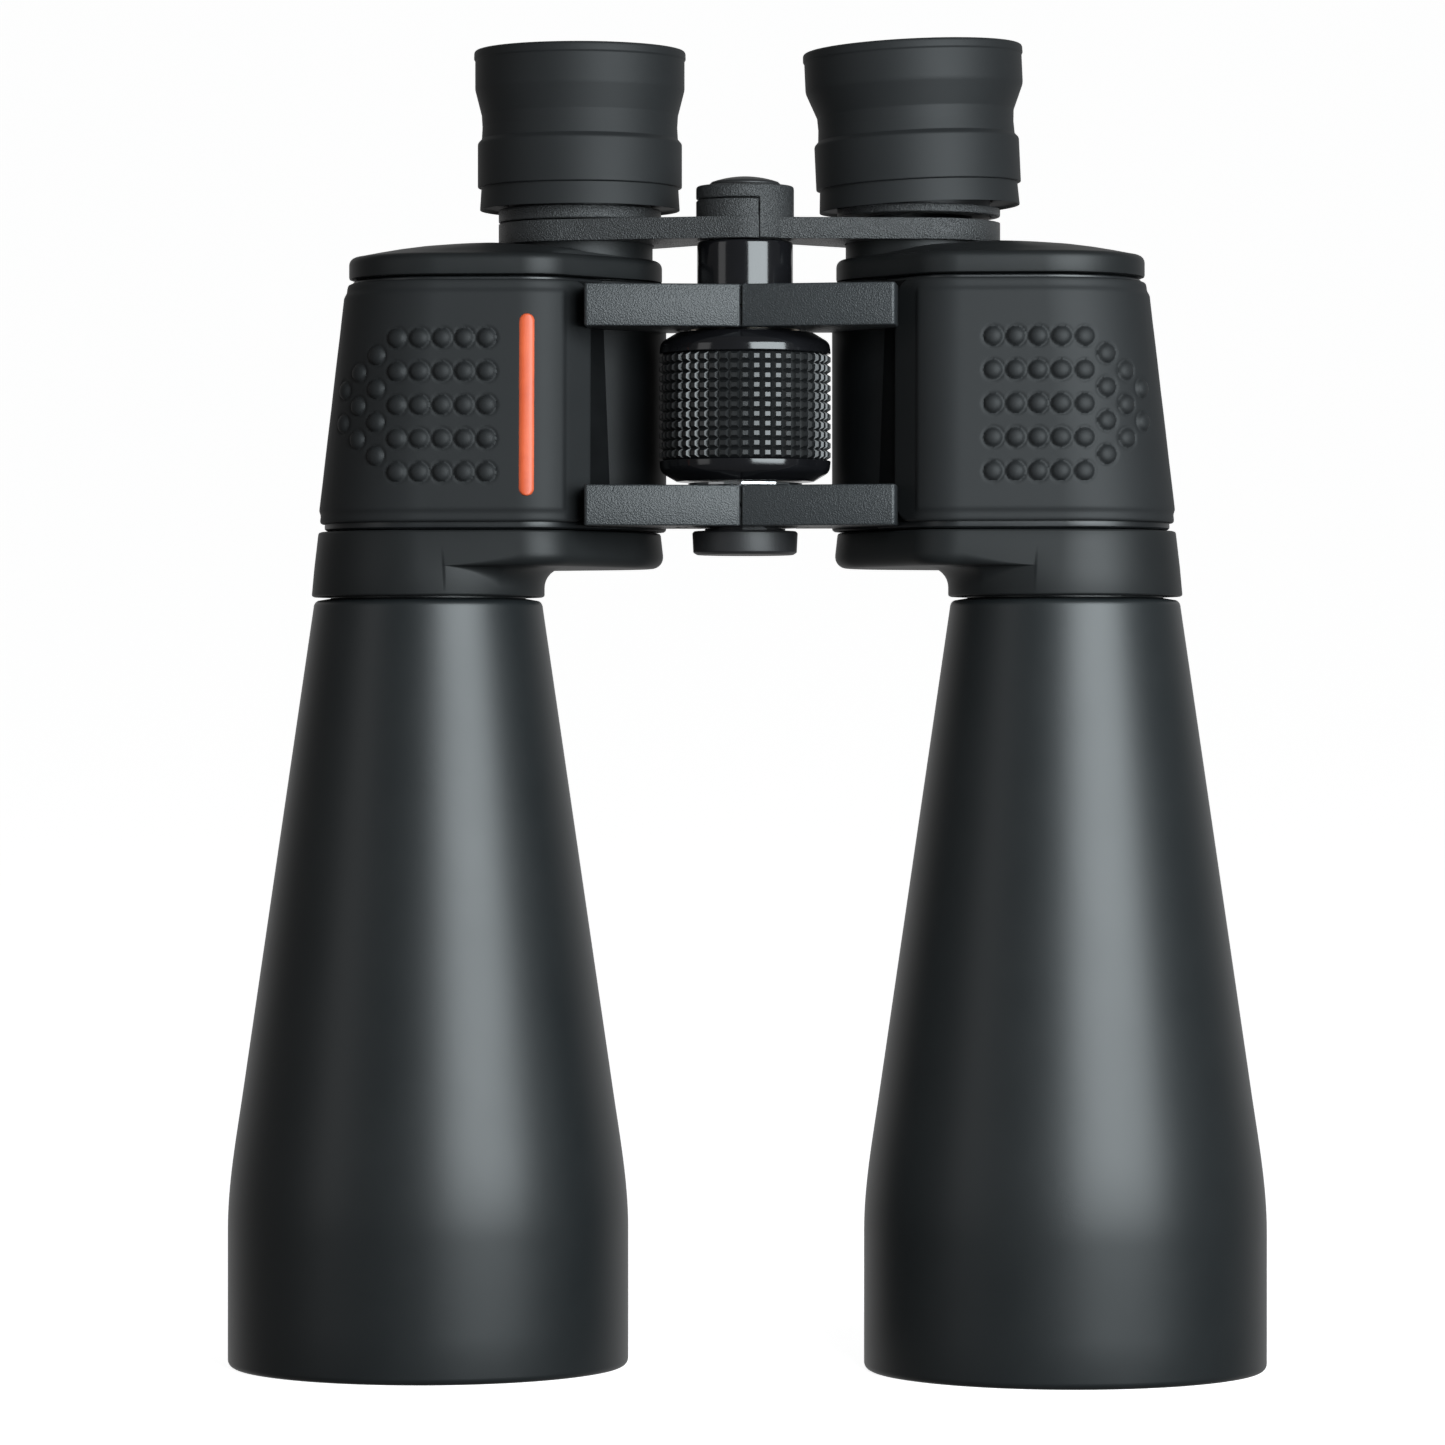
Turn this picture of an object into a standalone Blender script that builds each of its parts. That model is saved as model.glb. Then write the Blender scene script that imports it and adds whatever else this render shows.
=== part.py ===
"""Large Porro-prism astronomy binoculars, standing on their objective rims.

Millimetres below, turned into metres where vertices and locations are set. Z is up, and the two halves
lie at -X (left) and +X (right). Plan positions are measured from the hinge axis, and the last step moves
the assembly so that the origin lies midway between the objective axes, on the plane of the rims.
The rest pose is the widest one: the two halves fold towards +Y, about the hinge, for closer eyes.
"""
import math

import bmesh
import bpy
from mathutils import Vector

MM = 0.001
GAP = 0.3
STEPS = 28
SMALL_STEPS = 20
BARREL_STEPS = 40

# Optical axes of the right half, seen from above.
OBJECTIVE_AXIS = Vector((67.3, 2.5))
EYEPIECE_AXIS = Vector((36.1, 13.8))
FOLD_OFFSET = (OBJECTIVE_AXIS - EYEPIECE_AXIS) / 2
MIDDLE_AXIS = (OBJECTIVE_AXIS + EYEPIECE_AXIS) / 2 + Vector((-FOLD_OFFSET.y, FOLD_OFFSET.x))
HINGE_AXIS = Vector((0.0, 0.0))

# Prism housing: its outer wall leans in towards the top.
HOUSING_BOTTOM = 176.3
HOUSING_TOP = 229.0
FOOT_RADIUS = 22.0
HEAD_RADIUS = 20.1
HEAD_SHIFT = -4.3
EYEPIECE_WALL = 18.4
MIDDLE_WALL = 15.4
WALL = 2.2
CORNER_RADIUS = 1.6
FRONT_CORNER_X = 34.3
BACK_CORNER = (29.6, 0.0, CORNER_RADIUS)  # where the housing meets the eyepiece wall: x, y, radius

# Rubber grip round the outside of the housing.
GRIP_THICKNESS = 1.1
GRIP_BOTTOM = 177.7
GRIP_TOP = 228.3
GRIP_INNER_EDGE = 32.7
GRIP_FOLD = 36.8
GRIP_END_ANGLE = 58.0

# Covers.
COVER_BOTTOM = 162.3
COVER_FLANGE = 168.5
COVER_TOP = 176.0
COLLAR_RADIUS = 24.2
LIGHT_BORE = 21.0
TOP_COVER_BOTTOM = HOUSING_TOP + GAP
TOP_COVER_TOP = 234.0

# Objective barrel and what it holds.
RIM_RADIUS = 42.3
RIM_CHAMFER = 1.3
RIM_BORE = 39.6
CYLINDER_TOP = 31.0
CONE_BOTTOM = 56.0
CONE_BOTTOM_RADIUS = 39.4
FLARE_MIDDLE = (41.1, 44.0)  # between the cone and the straight rim: radius, height
BARREL_TOP = 162.0
BARREL_TOP_RADIUS = 24.1
BARREL_WALL = 2.2
SPIGOT_RADIUS = 20.6
SPIGOT_BORE = 18.6
SPIGOT_TOP = 168.0
CELL_RADIUS = 39.3
LENS_RADIUS = 36.5
CELL_BOTTOM = 7.0
CELL_TOP = 26.5
CELL_LEDGE = 34.5
LENS_FRONT = 8.0
CROWN_THICKNESS = 11.0
FLINT_THICKNESS = 3.0
CROWN_FRONT_CURVE = 180.0
CEMENT_CURVE = 130.0
FLINT_BACK_CURVE = -400.0

# Hinge arms: each level has a left knuckle under a right one.
LOWER_ARM = (176.9, 185.4)
UPPER_ARM = (218.4, 227.3)
ARM_FRONT_MIDDLE = -14.6
ARM_FRONT_ROOT = -19.6
ARM_ROOT_X = 31.9
ARM_BACK = 9.5
ARM_BACK_X = 20.0
ARM_ROOT = ((33.5, -15.0), (29.8, -1.5), (21.5, 6.0))  # the arm's end, inside the housing wall
ARM_END_GAP = 0.2
KNUCKLE_RADIUS = 13.2
KNUCKLE_SPLIT = 0.15
UPPER_BORE = 11.8
LOWER_BORE = 7.9

# Focusing gear on the hinge axis.
PISTON_RADIUS = 10.1
PISTON_BOTTOM = 205.0
PISTON_TOP = 237.0
SCREW_RADIUS = 5.0
SCREW_BOTTOM = 189.0
KNOB_RADIUS = 18.05
KNOB_BOTTOM = 186.5
KNOB_TOP = 217.8
KNOB_BAND = (191.2, 213.2)
KNOB_SHELF = 202.6

# Eyepiece bridge.
BRIDGE_BOTTOM = 237.3
BRIDGE_TOP = 241.8
HUB_RADIUS = 10.3
HUB_CORE_RADIUS = 7.6
HUB_MIDDLE_TOP = 245.6
HUB_TOP = 248.7
BRIDGE_SCREW_RADIUS = 4.0
DOME_RADIUS = 7.4
DOME_TOP = 250.8
EYE_RING_RADIUS = 17.3
FRONT_SPLIT_ANGLE = -69.0
RIGHT_BACK_ANGLE = 60.0
LEFT_BACK_ANGLE = 108.0

# Eyepieces.
EYE_TUBE_RADIUS = 15.5
EYE_TUBE_BORE = 13.5
EYE_TUBE_BOTTOM = 222.0
EYE_TUBE_TOP = 241.6
OCULAR_RADIUS = 15.2
OCULAR_BORE = 12.4
OCULAR_BOTTOM = 242.1
OCULAR_TOP = 263.5
COLLAR_TOP = 244.9
DIOPTER_LIFT = 1.0
EYECUP_BOTTOM = 245.4
EYECUP_TOP = 278.8

# Tripod socket under the hinge, and its screw cap.
SOCKET_SEAT = 172.6
SOCKET_RADIUS = 8.5
AXLE_RADIUS = 7.6
AXLE_TOP = 185.3
SOCKET_BORE = 3.3
SOCKET_DEPTH = 9.0
CAP_BOTTOM = 171.1
CAP_TOP = 176.1
CAP_RADIUS = 11.1
STUD_RADIUS = 2.95
STUD_LENGTH = 6.0

# Prisms.
PRISM_LENGTH = 40.0
PRISM_WIDTH = 18.0
PRISM_HEIGHT = 19.0
SHELF_BOTTOM = 203.2
SHELF_TOP = 204.8

SIDES = (("left", -1), ("right", 1))

# Pieces made of many crossing shapes, where the exact solver leaves open edges.
MANY_CUTS = ("prism_housing", "bridge_arm", "bottom_cover", "arm_")


# ---------------------------------------------------------------- scene helpers

def clear_scene():
    for obj in list(bpy.data.objects):
        bpy.data.objects.remove(obj, do_unlink=True)


def make_collection(name):
    collection = bpy.data.collections.new(name)
    bpy.context.scene.collection.children.link(collection)
    return collection


def make_material(name, colour, roughness, metallic=0.0, alpha=1.0):
    material = bpy.data.materials.new(name)
    material.use_nodes = True
    shader = material.node_tree.nodes["Principled BSDF"]
    shader.inputs["Base Color"].default_value = (*colour, 1.0)
    shader.inputs["Roughness"].default_value = roughness
    shader.inputs["Metallic"].default_value = metallic
    shader.inputs["Alpha"].default_value = alpha
    material.diffuse_color = (*colour, alpha)
    return material


def make_pivot(name, axis, parent=None):
    pivot = bpy.data.objects.new(name, None)
    pivot.empty_display_size = 20 * MM
    pivot.location = (axis.x * MM, axis.y * MM, 0.0)
    parts.objects.link(pivot)
    if parent is not None:
        place_under(pivot, parent)
    return pivot


def place_under(obj, parent):
    """Parent obj without moving it; every pivot is upright, so only the offset is undone."""
    obj.parent = parent
    obj.matrix_parent_inverse.identity()
    offset = Vector((0.0, 0.0, 0.0))
    above = parent
    while above is not None:
        offset += above.location
        above = above.parent
    obj.location = obj.location - offset


def new_object(name, mesh, material=None):
    obj = bpy.data.objects.new(name, mesh)
    if material is not None:
        mesh.materials.append(material)
    parts.objects.link(obj)
    return obj


def use_as_tool(obj):
    """Move a cutter, or a shape joined to another, out of the parts."""
    parts.objects.unlink(obj)
    cutters.objects.link(obj)
    obj.hide_render = True
    obj.display_type = "WIRE"


def combine(target, tool, operation):
    modifier = target.modifiers.new(tool.name, "BOOLEAN")
    modifier.operation = operation
    modifier.object = tool
    modifier.solver = "MANIFOLD" if target.name.startswith(MANY_CUTS) else "EXACT"
    if tool.name in parts.objects:
        use_as_tool(tool)


def cut(target, tool):
    combine(target, tool, "DIFFERENCE")


def join(target, tool):
    combine(target, tool, "UNION")


# ---------------------------------------------------------------- shapes

def axis_of(side_sign, axis):
    return Vector((axis.x * side_sign, axis.y))


def turned(name, profile, axis, material=None, steps=STEPS):
    """Profile of (radius, z) running down the outer side; closed on itself unless it meets the axis."""
    mesh = bpy.data.meshes.new(name)
    vertices = [(radius * MM, 0.0, z * MM) for radius, z in profile]
    edges = [(i, i + 1) for i in range(len(profile) - 1)]
    if min(radius for radius, _ in profile) > 0:
        edges.append((len(profile) - 1, 0))
    mesh.from_pydata(vertices, edges, [])
    obj = new_object(name, mesh, material)
    obj.location = (axis.x * MM, axis.y * MM, 0.0)
    screw = obj.modifiers.new("Turn", "SCREW")
    screw.steps = steps
    screw.render_steps = steps
    screw.use_merge_vertices = True
    screw.merge_threshold = 0.000001
    screw.use_smooth_shade = True
    return obj


def tube(name, outer, inner, bottom, top, axis, material=None, steps=STEPS):
    profile = [(outer, top), (outer, bottom), (inner, bottom), (inner, top)]
    return turned(name, profile, axis, material, steps)


def rod(name, radius, bottom, top, axis, material=None, steps=STEPS):
    profile = [(0, top), (radius, top), (radius, bottom), (0, bottom)]
    return turned(name, profile, axis, material, steps)


def plate(name, outline, bottom, top, material=None):
    """Flat outline of (x, y) points, extruded from bottom to top."""
    curve = bpy.data.curves.new(name, "CURVE")
    curve.dimensions = "2D"
    curve.fill_mode = "BOTH"
    curve.extrude = (top - bottom) / 2 * MM
    spline = curve.splines.new("POLY")
    spline.points.add(len(outline) - 1)
    for point, (x, y) in zip(spline.points, outline):
        point.co = (x * MM, y * MM, 0.0, 1.0)
    spline.use_cyclic_u = True
    guide = bpy.data.objects.new(name + "_outline", curve)
    parts.objects.link(guide)
    bpy.context.view_layer.update()
    evaluated = guide.evaluated_get(bpy.context.evaluated_depsgraph_get())
    mesh = bpy.data.meshes.new_from_object(evaluated)
    bpy.data.objects.remove(guide, do_unlink=True)
    weld(mesh)
    mesh.name = name
    mesh.materials.clear()
    obj = new_object(name, mesh, material)
    obj.location = (0.0, 0.0, (top + bottom) / 2 * MM)
    return obj


def weld(mesh):
    cage = bmesh.new()
    cage.from_mesh(mesh)
    bmesh.ops.remove_doubles(cage, verts=cage.verts, dist=0.00001)
    bmesh.ops.recalc_face_normals(cage, faces=cage.faces)
    cage.to_mesh(mesh)
    cage.free()


def lofted(name, sections, material=None):
    """Join outlines of equal length, given as (z, outline) from bottom to top, into one closed skin."""
    cage = bmesh.new()
    rings = []
    for z, outline in sections:
        rings.append([cage.verts.new((x * MM, y * MM, z * MM)) for x, y in outline])
    for low, high in zip(rings, rings[1:]):
        for i in range(len(low)):
            j = (i + 1) % len(low)
            cage.faces.new((low[i], low[j], high[j], high[i]))
    cage.faces.new(list(reversed(rings[0])))
    cage.faces.new(rings[-1])
    bmesh.ops.recalc_face_normals(cage, faces=cage.faces)
    mesh = bpy.data.meshes.new(name)
    cage.to_mesh(mesh)
    cage.free()
    return new_object(name, mesh, material)


def hull(discs, sign=1, count=40):
    """Outline of a belt pulled round discs of (x, y, radius); sign -1 mirrors it to the left half."""
    outline = []
    for step in range(count):
        angle = 2 * math.pi * (step + 0.5) / count
        normal = Vector((math.cos(angle), math.sin(angle)))
        x, y, radius = max(discs, key=lambda disc: disc[0] * normal.x + disc[1] * normal.y + disc[2])
        outline.append((sign * (x + radius * normal.x), y + radius * normal.y))
    return outline


def sector(start, end, radius, sign=1):
    """Pie slice about the hinge axis, from the start angle to the end angle in degrees."""
    count = 8
    outline = [(0.0, 0.0)]
    for step in range(count + 1):
        angle = math.radians(start + (end - start) * step / count)
        outline.append((sign * radius * math.cos(angle), radius * math.sin(angle)))
    return outline


def sag(radius, curve):
    """Height that a lens surface of this curve falls away by, at this distance from its axis."""
    return math.copysign(abs(curve) - math.sqrt(curve * curve - radius * radius), curve)


def lens(name, radius, low, low_curve, high, high_curve, axis, material, steps=STEPS):
    """Lens with its two centres at low and high; a positive curve bulges outwards."""
    rings = 3
    profile = [(radius * i / rings, high - sag(radius * i / rings, high_curve)) for i in range(rings + 1)]
    profile += [(radius * i / rings, low + sag(radius * i / rings, low_curve)) for i in range(rings, -1, -1)]
    return turned(name, profile, axis, material, steps)


# ---------------------------------------------------------------- prism housing and its covers

def wall_discs(height, inset=0.0):
    """The housing's wall at this height between its foot and its head, moved in by inset."""
    rise = (height - HOUSING_BOTTOM) / (HOUSING_TOP - HOUSING_BOTTOM)
    radius = FOOT_RADIUS + (HEAD_RADIUS - FOOT_RADIUS) * rise
    return [
        (OBJECTIVE_AXIS.x + HEAD_SHIFT * rise, OBJECTIVE_AXIS.y, radius - inset),
        (MIDDLE_AXIS.x, MIDDLE_AXIS.y, MIDDLE_WALL - inset),
    ]


def eyepiece_disc(inset=0.0):
    return (EYEPIECE_AXIS.x, EYEPIECE_AXIS.y, EYEPIECE_WALL - inset)


def front_corner(height, inset=0.0):
    """The front inner edge of the housing, beside the hinge arms."""
    outer = wall_discs(height)[0]
    return (FRONT_CORNER_X + inset, outer[1] - outer[2] + CORNER_RADIUS + inset, CORNER_RADIUS)


def hinge_arm_outline(sign):
    points = [
        (ARM_END_GAP, ARM_FRONT_MIDDLE),
        (ARM_ROOT_X, ARM_FRONT_ROOT),
        (GRIP_INNER_EDGE - GAP, ARM_FRONT_ROOT + 0.5),
        (GRIP_INNER_EDGE - GAP, ARM_FRONT_ROOT + 2.2),
        *ARM_ROOT,
        (ARM_BACK_X, ARM_BACK),
        (ARM_END_GAP, ARM_BACK),
    ]
    return [(sign * x, y) for x, y in points]


def add_hinge_arm(housing, side, sign, level, bore):
    """One arm with its knuckle: the left knuckle fills the lower half of the level, the right the upper."""
    low, high = level
    middle = (low + high) / 2
    label = f"{side}_{int(low)}"
    arm = plate(f"arm_{label}", hinge_arm_outline(sign), low, high)
    if sign < 0:
        own = (low, middle - KNUCKLE_SPLIT)
        other = (middle - KNUCKLE_SPLIT, high + 1)
    else:
        own = (middle + KNUCKLE_SPLIT, high)
        other = (low - 1, middle + KNUCKLE_SPLIT)
    clearance = KNUCKLE_RADIUS + GAP
    cut(arm, rod(f"knuckle_space_{label}", clearance, *other, HINGE_AXIS))
    join(arm, rod(f"knuckle_{label}", KNUCKLE_RADIUS, *own, HINGE_AXIS))
    cut(arm, rod(f"knuckle_bore_{label}", bore, low - 1, high + 1, HINGE_AXIS))
    join(housing, arm)


def make_housing(side, sign):
    bottom, top = HOUSING_BOTTOM, HOUSING_TOP
    shell = []
    eyepiece_wall = []
    cavity = []
    for height in (bottom, top):
        discs = wall_discs(height)
        shell.append((height, hull([*discs, front_corner(height), BACK_CORNER], sign)))
        eyepiece_wall.append((height, hull([eyepiece_disc(), discs[1]], sign)))
        beyond = height + math.copysign(1, height - 200)
        cavity.append((beyond, hull([*wall_discs(height, WALL), eyepiece_disc(WALL)], sign)))
    housing = lofted(f"prism_housing_{side}", shell, PAINT)
    join(housing, lofted(f"eyepiece_wall_{side}", eyepiece_wall))
    cut(housing, lofted(f"housing_cavity_{side}", cavity))
    add_hinge_arm(housing, side, sign, LOWER_ARM, LOWER_BORE)
    add_hinge_arm(housing, side, sign, UPPER_ARM, UPPER_BORE)
    return housing


def grip_section(height, sign):
    """Strip from the front inner edge, round the outside, to the back of the housing."""
    skin = []
    backing = []
    outer, middle = wall_discs(height)
    front = outer[1] - outer[2] - GAP
    skin.append((GRIP_INNER_EDGE, front - GRIP_THICKNESS / 2))
    skin.append((GRIP_FOLD, front - GRIP_THICKNESS))
    backing.append((GRIP_INNER_EDGE, front))
    backing.append((GRIP_FOLD, front))
    count = 22
    for step in range(count + 1):
        angle = math.radians(-90 + (GRIP_END_ANGLE + 90) * step / count)
        normal = Vector((math.cos(angle), math.sin(angle)))
        reach = [disc[0] * normal.x + disc[1] * normal.y + disc[2] for disc in (outer, middle)]
        x, y, radius = outer if reach[0] > reach[1] else middle
        for points, offset in ((skin, GAP + GRIP_THICKNESS), (backing, GAP)):
            points.append((x + (radius + offset) * normal.x, y + (radius + offset) * normal.y))
    outline = skin + backing[::-1]
    return [(sign * x, y) for x, y in outline]


def make_grip(side, sign):
    sections = [(height, grip_section(height, sign)) for height in (GRIP_BOTTOM, GRIP_TOP)]
    return lofted(f"grip_panel_{side}", sections, RUBBER)


def make_bottom_cover(side, sign):
    """Lower shell: a flange that closes the housing, over a collar that takes the barrel."""
    rim = wall_discs(HOUSING_BOTTOM, -1.2)
    outer = [*rim, eyepiece_disc(1.2), front_corner(HOUSING_BOTTOM)]
    lower = [(x, y, radius - 1.4) for x, y, radius in outer]
    step = COVER_FLANGE + 2.0
    sections = [(COVER_FLANGE, hull(lower, sign)), (step, hull(outer, sign)), (COVER_TOP, hull(outer, sign))]
    cover = lofted(f"bottom_cover_{side}", sections, PAINT)
    axis = axis_of(sign, OBJECTIVE_AXIS)
    join(cover, rod(f"collar_{side}", COLLAR_RADIUS, COVER_BOTTOM, COVER_TOP - 1, axis))
    cut(cover, rod(f"light_bore_{side}", LIGHT_BORE, COVER_BOTTOM - 1, COVER_TOP + 1, axis))
    pocket = [(x, y, radius - 1.8) for x, y, radius in outer[:3]]
    cut(cover, plate(f"cover_pocket_{side}", hull(pocket, sign), step + 0.5, COVER_TOP + 1))
    return cover


def make_top_cover(side, sign):
    """Plate over the prisms, with the guide hole that the eyepiece tube slides in."""
    rim = wall_discs(HOUSING_TOP, -0.9)
    outer = [*rim, eyepiece_disc(0.9), front_corner(HOUSING_TOP)]
    upper = [(x, y, radius - 1.5) for x, y, radius in outer]
    edge = TOP_COVER_TOP - 2.0
    sections = [
        (TOP_COVER_BOTTOM, hull(outer, sign)),
        (edge, hull(outer, sign)),
        (TOP_COVER_TOP, hull(upper, sign)),
    ]
    cover = lofted(f"top_cover_{side}", sections, PAINT)
    axis = axis_of(sign, EYEPIECE_AXIS)
    guide = EYE_TUBE_RADIUS + GAP
    cut(cover, rod(f"eye_guide_{side}", guide, TOP_COVER_BOTTOM - 1, TOP_COVER_TOP + 1, axis))
    return cover


def make_strap_lug(side, sign):
    """Flat loop at the back of the housing for one end of the neck strap."""
    low, high = 212.0, 215.0
    front = MIDDLE_AXIS.y + MIDDLE_WALL + GAP
    half = 7.0
    lug = plate(f"strap_lug_{side}", hull([
        (MIDDLE_AXIS.x - half + 2, front + 3.1, 2.0),
        (MIDDLE_AXIS.x + half - 2, front + 3.1, 2.0),
        (MIDDLE_AXIS.x - half + 1, front + 1.2, 1.0),
        (MIDDLE_AXIS.x + half - 1, front + 1.2, 1.0),
    ], sign, 24), low, high, STEEL)
    slot = [(-half + 3, 1.8), (half - 3, 1.8), (half - 3, 3.4), (-half + 3, 3.4)]
    outline = [(sign * (MIDDLE_AXIS.x + x), front + y) for x, y in slot]
    cut(lug, plate(f"strap_slot_{side}", outline, low - 1, high + 1))
    return lug


# ---------------------------------------------------------------- optics

def make_barrel(side, sign):
    outer = [
        (SPIGOT_RADIUS, SPIGOT_TOP),
        (SPIGOT_RADIUS, BARREL_TOP),
        (BARREL_TOP_RADIUS - 0.5, BARREL_TOP),
        (BARREL_TOP_RADIUS, BARREL_TOP - 2.0),
        (CONE_BOTTOM_RADIUS, CONE_BOTTOM),
        FLARE_MIDDLE,
        (RIM_RADIUS - 0.3, CYLINDER_TOP),
        (RIM_RADIUS, CYLINDER_TOP - 3),
        (RIM_RADIUS, RIM_CHAMFER),
        (RIM_RADIUS - RIM_CHAMFER, 0.0),
    ]
    inner = [
        (RIM_BORE, 0.0),
        (RIM_BORE, CYLINDER_TOP),
        (CONE_BOTTOM_RADIUS - BARREL_WALL, CONE_BOTTOM),
        (SPIGOT_BORE, BARREL_TOP - 8.0),
        (SPIGOT_BORE, SPIGOT_TOP),
    ]
    return turned(f"objective_barrel_{side}", outer + inner, axis_of(sign, OBJECTIVE_AXIS), PAINT,
                  BARREL_STEPS)


def make_objective(side, sign):
    """Cell with a crown and a flint lens, held by a screwed ring."""
    axis = axis_of(sign, OBJECTIVE_AXIS)
    seat = LENS_RADIUS + GAP
    cell = turned(f"objective_cell_{side}", [
        (CELL_RADIUS, CELL_TOP),
        (CELL_RADIUS, CELL_BOTTOM),
        (seat, CELL_BOTTOM),
        (seat, CELL_TOP - 2.2),
        (CELL_LEDGE, CELL_TOP - 2.2),
        (CELL_LEDGE, CELL_TOP),
    ], axis, BLACK_METAL, STEPS)
    crown_back = LENS_FRONT + CROWN_THICKNESS
    crown = lens(f"objective_crown_lens_{side}", LENS_RADIUS, LENS_FRONT, CROWN_FRONT_CURVE,
                 crown_back, CEMENT_CURVE, axis, GLASS)
    flint = lens(f"objective_flint_lens_{side}", LENS_RADIUS, crown_back + GAP, -CEMENT_CURVE,
                 crown_back + GAP + FLINT_THICKNESS, FLINT_BACK_CURVE, axis, GLASS)
    ring_bore = LENS_RADIUS - 2.0
    ring_top = LENS_FRONT + sag(ring_bore, CROWN_FRONT_CURVE) - GAP
    ring = tube(f"objective_retaining_ring_{side}", LENS_RADIUS, ring_bore, CELL_BOTTOM, ring_top,
                axis, BLACK_METAL)
    return [cell, crown, flint, ring]


def make_prism(name, start, end, base, direction):
    """Porro prism on the line from start to end; direction +1 points its roof up, -1 down."""
    along = (end - start).normalized()
    centre = (start + end) / 2
    half = PRISM_LENGTH / 2
    flat = half - PRISM_HEIGHT
    outline = [(-half, 0), (half, 0), (flat, PRISM_HEIGHT), (-flat, PRISM_HEIGHT)]
    prism = plate(name, outline, -PRISM_WIDTH / 2, PRISM_WIDTH / 2, GLASS)
    # The outline lies flat: stand it up, turn it along the light's path and flip it for a roof below.
    prism.rotation_euler = (math.radians(90 * direction), 0.0, math.atan2(along.y, along.x))
    prism.location = (centre.x * MM, centre.y * MM, base * MM)
    return prism


def make_prisms(side, sign):
    """The upper prism takes the light over to the middle axis, and the lower one to the eyepiece."""
    objective = axis_of(sign, OBJECTIVE_AXIS)
    middle = axis_of(sign, MIDDLE_AXIS)
    eyepiece = axis_of(sign, EYEPIECE_AXIS)
    upper = make_prism(f"upper_prism_{side}", objective, middle, SHELF_TOP + GAP, 1)
    lower = make_prism(f"lower_prism_{side}", middle, eyepiece, SHELF_BOTTOM - GAP, -1)
    height = (SHELF_BOTTOM + SHELF_TOP) / 2
    inset = WALL + 3 * GAP
    outline = hull([*wall_discs(height, inset), eyepiece_disc(inset)], sign)
    shelf = plate(f"prism_shelf_{side}", outline, SHELF_BOTTOM, SHELF_TOP, BLACK_METAL)
    for label, axis in (("in", objective), ("across", middle), ("out", eyepiece)):
        hole = rod(f"shelf_{label}_{side}", 8.5, SHELF_BOTTOM - 1, SHELF_TOP + 1, axis, steps=SMALL_STEPS)
        cut(shelf, hole)
    return [upper, lower, shelf]


def make_eye_tube(side, sign):
    axis = axis_of(sign, EYEPIECE_AXIS)
    return turned(f"eyepiece_tube_{side}", [
        (EYE_TUBE_RADIUS, EYE_TUBE_TOP),
        (EYE_TUBE_RADIUS, EYE_TUBE_BOTTOM),
        (EYE_TUBE_BORE - 1.2, EYE_TUBE_BOTTOM),
        (EYE_TUBE_BORE - 1.2, EYE_TUBE_BOTTOM + 1.5),
        (EYE_TUBE_BORE, EYE_TUBE_BOTTOM + 1.5),
        (EYE_TUBE_BORE, EYE_TUBE_TOP),
    ], axis, PAINT, SMALL_STEPS)


def make_field_lens(side, sign):
    bottom = EYE_TUBE_BOTTOM + 1.5 + 2 * GAP + 0.4
    radius = EYE_TUBE_BORE - GAP
    return lens(f"field_lens_{side}", radius, bottom, 90.0, bottom + 4.5, 40.0,
                axis_of(sign, EYEPIECE_AXIS), GLASS, SMALL_STEPS)


def make_ocular(side, sign, lift):
    """Housing of the eye lens, the lens itself and the ring at its foot."""
    axis = axis_of(sign, EYEPIECE_AXIS)
    bottom = OCULAR_BOTTOM + lift
    housing = turned(f"ocular_housing_{side}", [
        (OCULAR_RADIUS, OCULAR_TOP),
        (OCULAR_RADIUS, bottom),
        (OCULAR_BORE - 1.0, bottom),
        (OCULAR_BORE - 1.0, bottom + 8),
        (OCULAR_BORE, bottom + 8),
        (OCULAR_BORE, OCULAR_TOP - 1.2),
        (OCULAR_BORE - 1.6, OCULAR_TOP),
    ], axis, BLACK_METAL, SMALL_STEPS)
    eye_lens = lens(f"eye_lens_{side}", OCULAR_BORE - GAP, OCULAR_TOP - 9.5, 60.0, OCULAR_TOP - 1.7,
                    34.0, axis, GLASS, SMALL_STEPS)
    ring_name = "diopter_ring" if sign > 0 else "eyepiece_collar_left"
    ring = tube(ring_name, EYE_RING_RADIUS, OCULAR_RADIUS + GAP, bottom, COLLAR_TOP, axis, PAINT)
    return housing, eye_lens, ring


def make_eyecup(side, sign):
    """Soft cup: a foot, a wide grip band, a waist and a flared lip."""
    sleeve = OCULAR_RADIUS + GAP
    return turned(f"eyecup_{side}", [
        (21.4, EYECUP_TOP),
        (22.3, 277.6),
        (22.2, 269.9),
        (20.8, 264.8),
        (20.8, 259.9),
        (21.7, 258.9),
        (21.7, 249.6),
        (20.9, 249.4),
        (21.2, EYECUP_BOTTOM),
        (sleeve, EYECUP_BOTTOM),
        (sleeve, 264.2),
        (19.4, 268.8),
        (20.6, EYECUP_TOP),
    ], axis_of(sign, EYEPIECE_AXIS), RUBBER, STEPS)


# ---------------------------------------------------------------- hinge, focusing gear and bridge

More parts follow.
